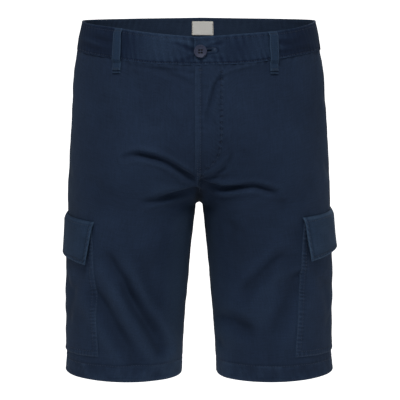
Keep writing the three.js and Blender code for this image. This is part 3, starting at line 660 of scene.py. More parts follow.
def layPanel(side, face):
    hem = panels["hem"]
    spacing = panels["rowSpacing"][face]
    turn, depth = hem["turn"], hem["depth"]
    closeUps = [(garment["crotch"], 9, 1.6), (hem["level"] + depth, 8, 0.9), (-50, 12, 0.6)]
    outside = spread(hem["level"] + turn, -45 + panels["underWaistband"], spacing, closeUps)
    inside = np.linspace(hem["level"] + depth - 1, hem["level"] + turn, 7)
    curl = np.linspace(math.pi, 0, 7)[1:-1]
    levels = np.concatenate([inside, hem["level"] + turn * (1 - np.sin(curl)), outside])
    offsets = np.concatenate([np.full(len(inside), -2 * turn), turn * (np.cos(curl) - 1), np.zeros(len(outside))])
    order = np.arange(len(levels), dtype=float)
    across = np.linspace(0, 1, panels["columns"][face] + 1)

    def place(u, v):
        index = np.rint(v).astype(int)
        level, offset = levels[index], offsets[index]
        z = heightAt(level, u, side, face)
        x = acrossAt(u, z, side, face)
        points, normals, relief = clothAt(x, z, face)
        fromInner = lengthsAlong(points, 1)
        fromSide = fromInner[:, -1:] - fromInner
        seamHeight = readTable(waist[side], 2, u if face == front else 2 - u)
        fromWaist = np.abs(z - seamHeight)
        fromHem = np.clip(level - hem["level"], 0, None)
        closed = smooth((fromInner + 2) / 4) if face == front else 1
        groove = panels["seamGroove"] * (bell(fromSide, 1.7) + bell(fromInner, 1.7) * (1 if face == back else 0.8))
        ripple = 0.3 * puckers(z, fromSide, 7.5, 5, side + face) + 0.28 * puckers(z, fromInner, 8, 4.5, 2 + side)
        around = turnAt(x, z) * 262
        inHem = smooth(fromHem / 2.5) * smooth((depth - fromHem) / 2)
        ladder = puckers(around * face + fromHem * 0.6, 0, 8.6, 1, 5 + side)
        blotch = waves(points, 31 + side, 10, 60, 30)
        hemRipple = (0.16 * ladder + 0.2 * blotch) * inHem - 0.42 * bell(fromHem - depth, 1.3)
        hemRipple += 0.45 * puckers(around * face, fromHem - depth, 9.3, 6, side) * (fromHem > depth)
        waistRipple = 0.5 * puckers(x, fromWaist, 10.5, 8, 1 + face)
        detail = (ripple + waistRipple - groove) * closed + hemRipple
        detail = np.where(offset < 0, -groove, detail)
        points = points + normals * (detail + offset)[..., None]
        wearAndShading = 0.45 * bell(fromHem, 1.6) + (0.07 * ladder + 0.13 * blotch) * inHem
        # A lighter broken line along the hem's top, partly abrasion and partly painted highlight, with painted shade
        # in a line just above it.
        wearAndShading += (0.3 * np.clip(blotch + 0.5, 0, 1.2)) * bell(fromHem - depth + 1, 1.3) - 0.3 * bell(
            fromHem - depth - 1.6, 1.4)
        # Lighter beside the side seam with painted shade in its groove; puckers and crease ridges lighter, their
        # hollows darkened with painted shade.
        wearAndShading += 0.3 * bell(fromSide - 3, 2.0) + 0.6 * ripple - 0.45 * bell(fromSide, 1.6) + 0.35 * waistRipple
        wearAndShading += 0.06 * np.clip(relief, -4, 3)
        # Painted shade: a dark strip down the crotch seam below the fly.
        wearAndShading -= bell(fromInner, 7) * smooth((-222 - z) / 20) * smooth((z + 264) / 8)
        fromGap = np.abs(x) - innerEdgeAt(z)  # painted light: the inner thighs lighter towards the gap between the legs, the right more than the left; the left front darker on its upper leg
        wearAndShading += (0.46 - 0.14 * side) * smooth((40 - fromGap) / 36) * smooth((-256 - z) / 16)
        if (side, face) == (left, front):
            wearAndShading -= 0.28 * bell(x - 48, 34) * bell(z + 300, 55)
        # Painted shade where the front creases meet at the crotch.
        if face == front:
            wearAndShading -= 0.4 * bell(x, 13) * bell(z + 220, 17)
        return points, normals, np.clip(wearAndShading, -1, 1)

    name = ("front" if face == front else "back") + ("_left" if side == left else "_right")
    cloth = layCloth(name + "_cloth", across, order, place, [navyTwill, innerTwill], panels["thickness"])
    cloth["levels"], cloth["outside"] = levels, len(levels) - len(outside)
    finishPiece(cloth["piece"], [name])
    return cloth


def panelRow(cloth, level):  # the row value of a level on the outside of a panel
    start = cloth["outside"]
    return np.interp(level, cloth["levels"][start:], np.arange(start, len(cloth["levels"]), dtype=float))


panelCloth = {(side, face): layPanel(side, face) for face in (front, back) for side in (left, right)}
print("panels laid, areas", [round(cloth["area"], 4) for cloth in panelCloth.values()])


# The fly: the left front's folded edge, lapped over the middle, with the curve of its lower end stitched down.
fly = {
    "edge": -5.4, "top": -57.0, "bottom": -238.0,
    "end": [(-57, 31.0), (-148, 30.8), (-158, 30.4), (-169.5, 29.2), (-178.5, 27.2), (-189, 21.8), (-198, 13.2),
            (-204, 7.4), (-212, 4.2), (-222, 3.2), (-238, 1.5)],
    "pitPitch": 8.6,
    "beyond": 1.7, "stand": 1.5, "sink": 0.22,
}


def flyEnd(z):
    return readTable(fly["end"], 1, z)


def layFly():
    def place(u, v):
        x = mix(fly["edge"] + 4.5 * smooth((-205 - v) / 34), flyEnd(v) + fly["beyond"], u)
        points, normals, relief = clothAt(x, v, front)
        toEnd = flyEnd(v) - x
        lift = mix(0.55, fly["stand"], smooth((toEnd - 2) / 24)) - 0.3 * bell(toEnd - 0.4, 1.0)
        lift = np.where(toEnd < 0, mix(lift, fly["sink"], smooth(-toEnd / 1.7)), lift)
        fromEdge = x - fly["edge"]
        shown = 1 - 0.75 * smooth((v + 68) / 8)  # it runs in under the waistband
        lift *= mix(1, 0.2, smooth((-212 - v) / 22)) * shown
        ripple = 0.3 * puckers(v, fromEdge - 7.6, 9.6, 5, 4) + 0.55 * puckers(v + x, toEnd - 1, 7.5, 8, 9)
        ripple -= 0.3 * bell(fromEdge - 7.6, 1.2)
        pits = np.clip(np.cos(v * 2 * math.pi / fly["pitPitch"] + np.sin(v / 19)), 0, 1) ** 2
        ripple -= 0.5 * pits * bell(toEnd - 0.6, 1.5)
        points = points + normals * (lift + ripple * shown)[..., None]
        # Lighter along the folded edge; painted shade in the groove beyond the stitch row, in the needle holes of the
        # curved row and over the lower end by the crotch.
        wearAndShading = 0.12 * bell(fromEdge - 0.5, 1.4) + 0.16 * smooth((9 - fromEdge) / 2) - 0.25 * bell(fromEdge - 9.4, 1.2)
        wearAndShading += 0.16 * (1 - pits) * bell(toEnd + 0.6, 1.4) - 1.4 * pits * bell(toEnd - 0.8, 2.2) + 0.5 * ripple
        wearAndShading -= 0.35 * smooth((-194 - v) / 14) + 0.5 * smooth((-220 - v) / 16)
        return points, normals, np.clip(wearAndShading * shown + 0.06 * np.clip(relief, -4, 3), -1, 1)

    cloth = layCloth("fly_cloth", np.linspace(0, 1, 30), spread(fly["bottom"], fly["top"], 1.5), place,
                     [navyTwill], 1.1, 0.45)
    finishPiece(cloth["piece"], ["fly"])
    return cloth


flyCloth = layFly()


def flyAcross(x, z):
    start = fly["edge"] + 4.5 * smooth((-205 - z) / 34)
    return (x - start) / (flyEnd(z) + fly["beyond"] - start)


# The waistband: two halves that join at centre back, the left one lapping over the right at centre front.
waistband = {
    "thickness": 2.2, "stand": 1.0, "spacing": 0.0086, "lap": 6, "under": 30, "rimRound": 0.8,
    "lowerRow": 2.4, "upperRow": 4.6,
    "flat": {left: (0.46, 0.042), right: (0.48, 0.042)},
    "creases": [  # in the front view, as the panels' ones
        (0.6, 2.6, 0.4, 0.2, 1, [(-36, -30), (-22, -34), (-9, -40)]),
        (-0.55, 4.5, 0, 0.2, 0.9, [(-66, -23), (-36, -26), (-10, -32)]),
        (0.6, 2.2, 0.4, 0.9, 0.1, [(10, -37.5), (20, -33.5), (34, -30)]),
        (0.5, 2.6, 0.4, 0.9, 0.1, [(10, -47), (22, -51), (38, -53)]),
        (0.5, 2.6, 0.3, 0.9, 0.1, [(-10, -50), (-20, -54), (-34, -56)]),
        (0.9, 4.2, 0.4, 0.3, 0.3, [(104, -30), (122, -32), (140, -28)]),
        (1.0, 3.8, 0.4, 0.5, 0.8, [(102, -44), (122, -42), (150, -38)]),
        (0.8, 4.6, 0.4, 0.3, 0.3, [(-150, -20), (-132, -26), (-116, -30)]),
        (0.8, 4.2, 0.4, 0.6, 0.2, [(-160, -32), (-140, -38), (-118, -44)]),
    ],
}
buttonhole = {"start": 2, "end": 16, "z": -41.8, "slit": 1.1, "stitched": 2.6, "bar": 22}


def waistSpot(side, at, down, firmness=0.45):
    station = np.where(at > 2, 4 - at, np.abs(at))
    own = (at >= 0) & (at <= 2)
    top = np.where(own, readTable(waist[side], 1, station), readTable(waist[-side], 1, station))
    seam = np.where(own, readTable(waist[side], 2, station), readTable(waist[-side], 2, station))
    z = mix(top, seam, down)
    x = side * halfWidthAt(z) * np.sin(np.pi / 2 * at)
    frontSpot = clothAt(x, z, front, 0.0, firmness)
    backSpot = clothAt(x, z, back, 0.0, firmness)
    isFront = station < 1
    points, normals = (np.where(isFront[..., None], a, b) for a, b in zip(frontSpot[:2], backSpot[:2]))
    return points, normals, top - seam


def stationOf(x):
    return 2 / math.pi * math.asin(x / 167.8)


def layWaistband(side):
    band = waistband
    start = -stationOf(band["lap"] if side == left else band["under"])
    across = spread(start, 2, band["spacing"], [(0.08, 0.13, 1.5)] if side == left else [])
    up = spread(-0.995, 0, 0.033, [(-0.48, 0.06, 1.1), (-0.93, 0.08, 0.6)])

    def place(u, v):
        down = -v
        points, normals, height = waistSpot(side, u, down)
        fromSeam, fromTop = (1 - down) * height, down * height
        around = side * u * 262
        x, z = points[..., 0], points[..., 2]
        under = smooth((x + 11) / 5) * (u < 0.5) if side == right else 0
        ladder = puckers(around + fromSeam * 0.3, fromSeam - band["lowerRow"], 8.8, 10, 3 + side)
        topLadder = puckers(around - fromTop * 0.2, fromTop - band["upperRow"], 11.5, 9, 7 + side)
        relief = 0.6 * ladder + 0.42 * topLadder
        relief += 0.3 * np.sin(around / 19 + side + 1.5 * np.sin(around / 61)) * np.sin(np.pi * down)
        relief -= 0.3 * bell(fromSeam - band["lowerRow"], 1.0) + 0.22 * bell(fromTop - band["upperRow"], 1.0)
        relief += np.where(points[..., 1] < 0, troughs(x, z, band["creases"]), 0)
        # Lighter at the top edge and by the seam; puckers and creases lighter on their ridges with painted shade in
        # their hollows, and painted shade along the lower stitch row.
        wearAndShading = 0.5 * bell(fromTop, 1.4) + 0.3 * bell(fromSeam - 0.4, 1.2) + 0.45 * relief
        wearAndShading -= 0.35 * bell(fromSeam - band["lowerRow"] - 0.6, 1.2)
        # Painted light and shade: the band lighter at the front and back, darker round the sides.
        wearAndShading = wearAndShading + 0.24 * smooth((0.5 - np.abs(u)) / 0.2) + 0.2 * smooth((u - 1.3) / 0.4)
        wearAndShading -= 0.16 * smooth((np.abs(u) - 0.46) / 0.06) * smooth((1.3 - u) / 0.3)
        if side == left:
            hole = buttonhole
            rise = z - hole["z"] - 0.08 * (x - 9)
            fromSlit = np.hypot(np.clip(hole["start"] - x, 0, None) + np.clip(x - hole["end"], 0, None), rise)
            fromWhip = np.hypot(np.clip(hole["start"] - x, 0, None) + np.clip(x - hole["bar"], 0, None), rise)
            isFront = points[..., 1] < 0
            relief += np.where(isFront, 0.42 * bell(fromWhip - hole["stitched"], 1.1), 0)
            relief -= np.where(isFront, 2.1 * bell(fromSlit, hole["slit"]), 0)
            wearAndShading = wearAndShading + np.where(isFront, 0.1 * bell(fromWhip - 1.4, 1.0), 0)
            # Painted shade in a ring round the buttonhole stitching and, very dark, in the slit.
            wearAndShading -= np.where(isFront, 0.5 * bell(fromWhip - hole["stitched"] - 1.2, 0.9), 0)
            wearAndShading += 0.12 * bell(x + band["lap"], 1.4) * isFront
            wearAndShading -= np.where(isFront, 2.0 * bell(fromSlit, hole["slit"]), 0)
        lift = band["stand"] + relief - under * (band["thickness"] + 0.5)
        return points + normals * lift[..., None], normals, np.clip(wearAndShading, -1, 1)

    name = "waistband_left" if side == left else "waistband_right"
    cloth = layCloth(name + "_cloth", across, up, place, [bandTwill, innerTwill], band["thickness"],
                     band["rimRound"], 3)
    finishPiece(cloth["piece"], [name])
    return cloth


waistbandCloth = {side: layWaistband(side) for side in (left, right)}

# Cargo pockets: patch pockets round the side seam, with a double row of stitching along their edges.
pocket = {
    "top": -274, "bottom": -459.5, "cutTop": -283,
    "frontTurn": {left: (0.3263, 0.3936), right: (0.3127, 0.3682)},  # share of a half turn, at the top and bottom
    "backTurn": {left: (0.2464, 0.3031), right: (0.2349, 0.2816)},
    "stand": 2.0, "billow": 1.3, "thickness": 1.2, "rows": (1.9, 8.2), "spacing": 1.3,
    "strip": 13, "rungPitch": 5.6,
    "flat": {left: (0.19, 0.188), right: (0.185, 0.188)},
}


def pocketTurn(side, u, z):
    down = (pocket["cutTop"] - z) / (pocket["cutTop"] - pocket["bottom"])
    ahead, behind = pocket["frontTurn"][side], pocket["backTurn"][side]
    return mix(-mix(*ahead, down), mix(*behind, down), u)


def layPocket(side):
    def place(u, v):
        turn = pocketTurn(side, u, v)
        points, normals, relief = legSpot(side, turn, v)
        fromFront = lengthsAlong(points, 1)
        fromBack = fromFront[:, -1:] - fromFront
        fromBottom = v - pocket["bottom"]
        fromEdge = np.minimum(np.minimum(fromFront, fromBack), fromBottom)
        lift = pocket["stand"] + pocket["billow"] * np.sin(np.pi * u) * np.sin(
            np.pi * np.clip(fromBottom / 190, 0, 1)) - 1.3 * bell(fromEdge, 1.5)
        inner, outer = pocket["rows"]
        strip = smooth(fromEdge / 1.5) * smooth((pocket["strip"] - fromEdge) / 7)
        along = np.where(fromBottom < np.minimum(fromFront, fromBack), fromFront, v)
        ladder = puckers(along + fromEdge * 0.12, 0, pocket["rungPitch"], 1, 6 + side)
        ladder = ladder * (0.75 + 0.4 * waves(points, 41 + side, 12, 40, 10))
        ripple = 0.42 * ladder * strip
        ripple -= 0.3 * bell(fromEdge - outer, 1.2) + 0.22 * bell(fromEdge - inner, 0.9)
        points = points + normals * (lift + ripple)[..., None]
        # Lighter edges and rung ridges; painted shade between the rungs and along the outer stitch row.
        wearAndShading = 0.42 * bell(fromEdge - 0.8, 1.4) + (0.5 * ladder + 0.06) * strip - 0.2 * bell(fromEdge - outer, 1.2)
        return points, normals, np.clip(wearAndShading + 0.06 * np.clip(relief, -4, 3), -1, 1)

    name = "cargo_pocket_left" if side == left else "cargo_pocket_right"
    across = spread(0, 1, 0.0118, [(0, 0.05, 0.5), (1, 0.05, 0.5)])
    up = spread(pocket["bottom"], pocket["top"], pocket["spacing"], [(pocket["bottom"], 10, 0.5)])
    cloth = layCloth(name + "_cloth", across, up, place, [navyTwill], pocket["thickness"], 0.5)
    finishPiece(cloth["piece"], [name])
    return cloth


pocketCloth = {side: layPocket(side) for side in (left, right)}

# Pocket flaps: double cloth, sewn down along the top and standing off the pocket lower down.
flap = {
    "backTurn": (0.312, 0.302), "step": 2.2, "cornerLift": 4.6, "stand": 2.9, "thickness": 1.8,
    "upper": [(-1, -268.5), (0, -263), (1, -259)], "lower": [(-1, -327.5), (0, -318), (1, -313)],
    "sides": {left: {"rise": 3, "frontTurn": (0.328, 0.31), "hang": 3.2, "flare": 2.2},
              right: {"rise": -3, "frontTurn": (0.325, 0.2975), "hang": 2.2, "flare": 1}},
    "row": 4.4,
    "flat": {left: (0.218, 0.058), right: (0.213, 0.058)},
}


def layFlap(side):
    cut = flap["sides"][side]

    def place(u, v):
        upper, lower = readTable(flap["upper"], 1, u), readTable(flap["lower"], 1, u)
        frontEnd, backEnd = mix(*cut["frontTurn"], v), mix(*flap["backTurn"], v)
        turn = u * np.where(u < 0, frontEnd, backEnd)
        z = mix(upper, lower, v) + cut["rise"]
        points, normals, relief = legSpot(side, turn, z, 0.0, 0.55)
        fall = (upper - lower) * v
        fromFront = lengthsAlong(points, 1)
        fromBack = fromFront[:, -1:] - fromFront
        fromBottom = (upper - lower) * (1 - v)
        fromEdge = np.minimum(np.minimum(fromFront, fromBack), fromBottom)
        lift = flap["stand"] + flap["step"] * smooth(fall / 9) + cut["hang"] * v
        lift += cut["flare"] * v**2 * bell(u, 0.4)
        lift += flap["cornerLift"] * v * np.maximum(-u, 0) ** 3 + 1.2 * v * np.maximum(u, 0) ** 4
        lift += 0.7 * v**2 * np.sin(fromFront / 17 + side * 1.4) - 0.9 * bell(fromEdge, 1.3) - 1.4 * bell(fall, 2.2)
        ladder = puckers(fromFront + z * 0.9, 0, 6.6, 1, 4 + side)
        strip = smooth(fromEdge / 1.5) * smooth((flap["row"] + 0.8 - fromEdge) / 1.5)
        ripple = 0.4 * ladder * strip - 0.32 * bell(fromEdge - flap["row"], 1.1) - 0.3 * bell(fall - 5.5, 1.1)
        ripple += 0.2 * puckers(fromFront, fall - 5.5, 8, 5, side)
        points = points + normals * (lift + ripple)[..., None]
        blotch = waves(points, 21 + side, 20, 110, 30)
        # Painted light: the left flap a little lighter than the right; painted shade along the inside of the stitch
        # row.
        wearAndShading = 0.06 * side + 0.55 * bell(fromEdge - 0.4, 1.9) + 0.36 * ladder * strip + 0.3 * bell(fall - 2.5, 1.6)
        wearAndShading -= 0.35 * bell(fromEdge - flap["row"] - 0.8, 1.4) - 0.11 * blotch
        return points, normals, np.clip(wearAndShading + 0.05 * np.clip(relief, -4, 3), -1, 1)

    name = "pocket_flap_left" if side == left else "pocket_flap_right"
    cloth = layCloth(name + "_cloth", spread(-1, 1, 0.0185, [(-1, 0.06, 0.6), (1, 0.06, 0.6)]),
                     spread(0, 1, 0.024, [(1, 0.1, 0.5), (0.1, 0.1, 0.5)]), place, [flapTwill], flap["thickness"],
                     0.6, 3)
    finishPiece(cloth["piece"], [name])
    return cloth


flapCloth = {side: layFlap(side) for side in (left, right)}

# Belt loops: folded strips sewn down at both ends, with room for a belt between.
loop = {
    "width": 12.6, "thickness": 1.7, "belowSeam": 18.5, "taper": 0.4, "bow": 3.2, "clear": 5, "stand": 2.9,
    "places": {"belt_loop_front_left": (left, 0.41), "belt_loop_front_right": (right, 0.458),
               "belt_loop_back_left": (left, 1.34), "belt_loop_back_right": (right, 1.34),
               "belt_loop_back_centre": (left, 2.0)},
}


def layLoop(name, side, at):
    top, seam = readTable(waist[side], 1, at), readTable(waist[side], 2, at)
    bottom = seam - loop["belowSeam"]
    face = front if at < 1 else back
    turn = side * math.sin(math.pi / 2 * at)
    seed = len(name) + 5 * at

    def place(u, v):
        middle = turn * mix(halfWidthAt(np.full_like(v, top)), halfWidthAt(v), loop["taper"])
        centre, normal, _ = clothAt(middle, v, face, 0.0, 0.5)
        sideways = np.cross([0.0, 0.0, 1.0], normal)
        sideways /= np.linalg.norm(sideways, axis=-1, keepdims=True)
        shift = u * (loop["width"] * (1 + 0.05 * np.cos((v - bottom) / 13 + seed)))
        point, _, _ = clothAt(middle + sideways[..., 0] * shift, v, face, 0.0, 0.5)
        bow = smooth((top - v - 2) / loop["clear"]) * smooth((v - seam + 6) / loop["clear"])
        fromSide = (0.5 - np.abs(u)) * loop["width"]
        fromEnd = v - bottom
        lift = loop["stand"] + loop["bow"] * bow + 0.9 * bell(fromEnd - 4.4, 1.2) - 0.7 * bell(fromSide, 0.9)
        lift -= 0.28 * bell(fromSide - 2.6, 0.8) + 0.9 * bell(fromEnd - 2.2, 1.0)
        lift += 0.16 * np.sin(v / 2.3 + seed) * bell(fromSide - 1.2, 1.6) + 0.12 * np.sin(v / 6.1 + seed)
        # Painted shade in the groove next to the folded lower end.
        wearAndShading = 0.5 * bell(fromSide, 1.2) + 0.5 * bell(fromEnd, 0.9) - 1.3 * bell(fromEnd - 2.2, 1.0)
        wearAndShading += 0.6 * bell(fromEnd - 4.4, 1.2) + 0.4 * bell(v - top, 2.0)
        return point + normal * lift[..., None], normal, np.clip(wearAndShading, -1, 1)

    cloth = layCloth(name + "_cloth", np.linspace(-0.5, 0.5, 15), spread(bottom, top - 0.6, 1.15), place,
                     [flapTwill], loop["thickness"], 0.55, 2)
    finishPiece(cloth["piece"], [name])
    return cloth


loopCloth = {name: layLoop(name, *spot) for name, spot in loop["places"].items()}
print("waistband, fly, pockets, flaps and loops laid")
for cloth in (*waistbandCloth.values(), *pocketCloth.values(), *flapCloth.values()):
    print(cloth["piece"].name, [round(float(lengthsAlong(cloth["points"], k).max()), 1) for k in (1, 0)])


# The button: a turned four-hole disc with a raised rim.
button = {"x": 1.9, "z": -42.6, "radius": 8.8, "thickness": 3, "rim": 1.9, "dish": 0.95, "hole": 1.35, "spacing": 3.6,
          "stand": 2.0}


def buttonSeat():
    x, z = np.array([button["x"]]), np.array([button["z"]])
    point, normal, _ = formAt(x, z, front)
    up = normal[0]
    sideways = np.cross([0.0, 0.0, 1.0], up)
    sideways /= np.linalg.norm(sideways)
    upright = np.cross(up, sideways)
    seat = Matrix.Identity(4)
    for k in range(3):
        seat[k][0], seat[k][1], seat[k][2] = sideways[k], upright[k], up[k]
        seat[k][3] = (point[0][k] + up[k] * button["stand"]) / 1000
    return seat


def makeButton():
    r, t, rim, dish = (button[key] / 1000 for key in ("radius", "thickness", "rim", "dish"))
    profile = [(0, 0), (r - 1.3e-3, 0), (r - 0.4e-3, 0.35e-3), (r, t * 0.5), (r - 0.15e-3, t * 0.8),
               (r - rim * 0.35, t), (r - rim * 0.62, t), (r - rim, t - dish * 0.55), (r - rim - 0.7e-3, t - dish),
               (0, t - dish * 0.9)]
    bm = bmesh.new()
    corners = [bm.verts.new((x, 0, z)) for x, z in profile]
    edges = [bm.edges.new(pair) for pair in zip(corners, corners[1:])]
    bmesh.ops.spin(bm, geom=corners + edges, cent=(0, 0, 0), axis=(0, 0, 1), angle=2 * math.pi, steps=56,
                   use_merge=True)
    bmesh.ops.remove_doubles(bm, verts=bm.verts, dist=1e-6)
    bmesh.ops.recalc_face_normals(bm, faces=bm.faces)
    disc = bpy.data.meshes.new("button_disc")
    bm.to_mesh(disc)
    bm.free()
    piece = bpy.data.objects.new("button_turned", disc)
    bm = bmesh.new()
    for i in (-1, 1):
        for j in (-1, 1):
            bmesh.ops.create_cone(
                bm, cap_ends=True, segments=20, radius1=button["hole"] / 1000, radius2=button["hole"] / 1000,
                depth=0.02, matrix=Matrix.Translation((i * button["spacing"] / 2e3, j * button["spacing"] / 2e3, 0)))
    drill = bpy.data.meshes.new("drill")
    bm.to_mesh(drill)
    bm.free()
    cutter = bpy.data.objects.new("drill", drill)
    for each in (piece, cutter):
        bpy.context.scene.collection.objects.link(each)
    cut = piece.modifiers.new("holes", "BOOLEAN")
    cut.object, cut.operation, cut.solver = cutter, "DIFFERENCE", "EXACT"
    soft = piece.modifiers.new("edges", "BEVEL")
    soft.width, soft.segments, soft.limit_method, soft.angle_limit = 0.00018, 2, "ANGLE", math.radians(50)
    bpy.context.view_layer.update()
    done = bpy.data.meshes.new_from_object(piece.evaluated_get(bpy.context.evaluated_depsgraph_get()))
    piece.modifiers.clear()
    piece.data = done
    bpy.data.objects.remove(cutter)
    done.transform(buttonSeat())
    done.shade_smooth()
    done.set_sharp_from_angle(angle=math.radians(40))
    done.materials.clear()
    done.materials.append(castButton)
    finishPiece(piece, ["button"])
    return piece


# Its thread: four strands between the holes and a wound shank under the disc.
def makeButtonThread():
    bm = bmesh.new()
    s, top = button["spacing"] / 2000, (button["thickness"] - button["dish"]) / 1000
    for j in (-1, 1):
        for k in (-0.22, 0.22):
            turned = Matrix.Translation((0, j * s + k * 1e-3, top + 0.00005)) @ Matrix.Rotation(math.pi / 2, 4, "Y")
            bmesh.ops.create_cone(bm, cap_ends=True, segments=10, radius1=0.00028, radius2=0.00028, depth=2 * s + 4e-4,
                                  matrix=turned)
    for i in (-1, 1):
        for j in (-1, 1):
            bmesh.ops.create_cone(bm, cap_ends=True, segments=14, radius1=0.001, radius2=0.001, depth=0.0022,
                                  matrix=Matrix.Translation((i * s, j * s, top - 0.00165)))
    bmesh.ops.create_cone(bm, cap_ends=True, segments=20, radius1=0.0028, radius2=0.0022, depth=0.0016,
                          matrix=Matrix.Translation((0, 0, -0.0004)))
    bm.transform(buttonSeat())
    mesh = bpy.data.meshes.new("button_thread")
    bm.to_mesh(mesh)
    bm.free()
    mesh.shade_smooth()
    mesh.set_sharp_from_angle(angle=math.radians(40))
    mesh.materials.append(darkThread)
    piece = bpy.data.objects.new("button_thread", mesh)
    bpy.context.scene.collection.objects.link(piece)
    finishPiece(piece, [])
    return piece


makeButton()
makeButtonThread()

# A plain woven label, sewn inside the back of the waistband.
label = {"x": 5.5, "width": 32, "height": 20, "below": 5, "stand": -1.75, "thickness": 0.6}


def layLabel():
    half, middle = stationOf(label["width"] / 2), stationOf(label["x"])

    def place(u, v):
        at = 2 - middle - u * half
        points, normals, height = waistSpot(left, at, (label["below"] - v * label["height"]) / 40.8)
        fromEnd = (1 - np.abs(u)) * label["width"] / 2
        fromRim = np.minimum(-v, 1 + v) * label["height"]
        lift = label["stand"] + 0.22 * bell(fromEnd - 1.4, 0.7) - 0.1 * np.sin(u * 7)
        wearAndShading = 0.7 * bell(fromEnd, 1.0) + 0.5 * bell(fromRim, 0.6)
        return points + normals * lift[..., None], -normals, np.clip(wearAndShading, 0, 1)

    cloth = layCloth("label_tape", np.linspace(-1, 1, 41), np.linspace(-1, 0, 17), place, [labelTape],
                     label["thickness"], 0.15, 1)
    finishPiece(cloth["piece"], ["label"])
    return cloth


labelCloth = layLabel()
print("button and label made")

# Stitching, one joined mesh for each piece that carries it.
line = np.linspace(0, 1, 400)
hemRow = {}
for (side, face), cloth in panelCloth.items():
    name = cloth["piece"].name.replace("_cloth", "_stitches")
    across = cloth["across"]
    hemLevel = panels["hem"]["level"] + panels["hem"]["depth"]
    paths = [(cloth, line, panelRow(cloth, hemLevel), {})]
    if face == back:  # the seat seam and the side seam are topstitched
        down = panelRow(cloth, np.linspace(-52, -236, 300))
        if side == left:
            paths += [(cloth, 0.014, down, {}), (cloth, 0.036, down, {})]
        paths.append((cloth, 0.988, panelRow(cloth, np.linspace(-50, -488, 500)), {}))
    sewRows(name, paths)
for side, cloth in waistbandCloth.items():
    start = cloth["across"][0]
    run = np.linspace(max(start, -stationOf(4)) if side == left else stationOf(7), 2, 900)
    paths = [(cloth, run, -1 + waistband["lowerRow"] / 38.5, {}), (cloth, run, -waistband["upperRow"] / 39.5, {})]
    if side == left:
        upright = np.linspace(-0.93, -0.12, 80)
        paths.append((cloth, start + stationOf(2.4), upright, {}))
        hole = buttonhole

        def downTo(z):
            return -(-23.2 - z) / 37.3

        slit = np.linspace(stationOf(9), stationOf(hole["bar"]), 60)
        rise = hole["z"] + np.linspace(0, 1.1, 60)
        whip = {"pitch": 0.85, "length": 2.2, "width": 0.7, "height": 0.5, "turned": True}
        paths += [(cloth, slit, downTo(rise + hole["stitched"] * np.linspace(1, 0.7, 60)), whip),
                  (cloth, slit, downTo(rise - hole["stitched"] * np.linspace(1, 0.7, 60)), whip)]
        tack = np.full(12, stationOf(hole["bar"] - 2))
        tackRows = [(cloth, tack + stationOf(k), np.linspace(downTo(rise[-1] - 1.6), downTo(rise[-1] + 1.6), 12),
                     {"pitch": 1.3, "length": 1.9, "width": 1.0, "height": 0.7}) for k in (0, 1.0, 2.0)]
        buttonholeTack = sewRows("buttonhole_tack", tackRows, paleThread)
    sewRows(cloth["piece"].name.replace("_cloth", "_stitches"), paths)
z = np.linspace(-64, -207, 300)
lower = np.linspace(-186, -236, 90)
edgeRow = np.linspace(-62, -228, 340)
flyPaths = [(flyCloth, flyAcross(flyEnd(z) - 0.4, z), z, {"height": 0.34, "width": 0.7}), (flyCloth, flyAcross(2.2, edgeRow), edgeRow, {}),
            (flyCloth, flyAcross(-2.2, lower[:75]), lower[:75], {"height": 0.7, "width": 1.1}),
            (flyCloth, flyAcross(0.8, lower[20:]), lower[20:], {"height": 0.7, "width": 1.1})]
tackAcross = np.linspace(-2.6, 2.8, 30)
for k in (0, 1.0, 2.0):
    flyPaths.append((flyCloth, flyAcross(tackAcross + 2, np.full(30, -66.0 - k)), np.full(30, -66.0 - k),
                     {"pitch": 1.3, "length": 1.9, "width": 0.8}))
    flyPaths.append((flyCloth, flyAcross(tackAcross, np.full(30, -205.0 - k)), np.full(30, -205.0 - k),
                     {"pitch": 1.3, "length": 1.9, "width": 0.8}))
flyStitches = sewRows("fly_stitches", flyPaths)
pocketStitches, flapStitches = {}, {}
for side in (left, right):
    cloth = pocketCloth[side]
    width = lengthsAlong(cloth["points"], 1)[:, -1].mean()
    paths = []
    for offset in pocket["rows"]:
        share = offset / width
        upward = np.linspace(pocket["bottom"] + offset, pocket["top"], 300)
        level = np.linspace(share, 1 - share, 300)
        paths += [(cloth, share, upward, {}), (cloth, 1 - share, upward, {}),
                  (cloth, level, pocket["bottom"] + offset, {})]
    pocketStitches[side] = sewRows(cloth["piece"].name.replace("_cloth", "_stitches"), paths)
    cloth = flapCloth[side]
    wide, tall = lengthsAlong(cloth["points"], 1)[:, -1].mean(), 56.0
    edge, drop = 2 * flap["row"] / wide, flap["row"] / tall
    level, fall = np.linspace(-1 + edge, 1 - edge, 300), np.linspace(0.03, 1 - drop, 120)
    paths = [(cloth, level, 1 - drop, {}), (cloth, -1 + edge, fall, {}), (cloth, 1 - edge, fall, {}),
             (cloth, np.linspace(-0.985, 0.985, 300), 5.5 / tall, {})]
    flapStitches[side] = sewRows(cloth["piece"].name.replace("_cloth", "_stitches"), paths)
for name, cloth in loopCloth.items():
    v = cloth["up"]
    run = np.linspace(v[0] + 5, v[-1] - 1.5, 120)
    small = {"pitch": 3.0, "length": 2.2, "width": 0.75}
    paths = [(cloth, -0.29, run, small), (cloth, 0.29, run, small)]
    tack = np.linspace(-0.4, 0.4, 40)
    for level in (v[0] + 4.0, v[0] + 5.0, v[0] + 6.0, v[-1] - 2.6, v[-1] - 3.6):
        paths.append((cloth, tack, level, {"pitch": 1.5, "length": 1.9, "width": 0.8}))
    sewRows(name + "_stitches", paths)
ends = np.linspace(-0.86, -0.14, 40)
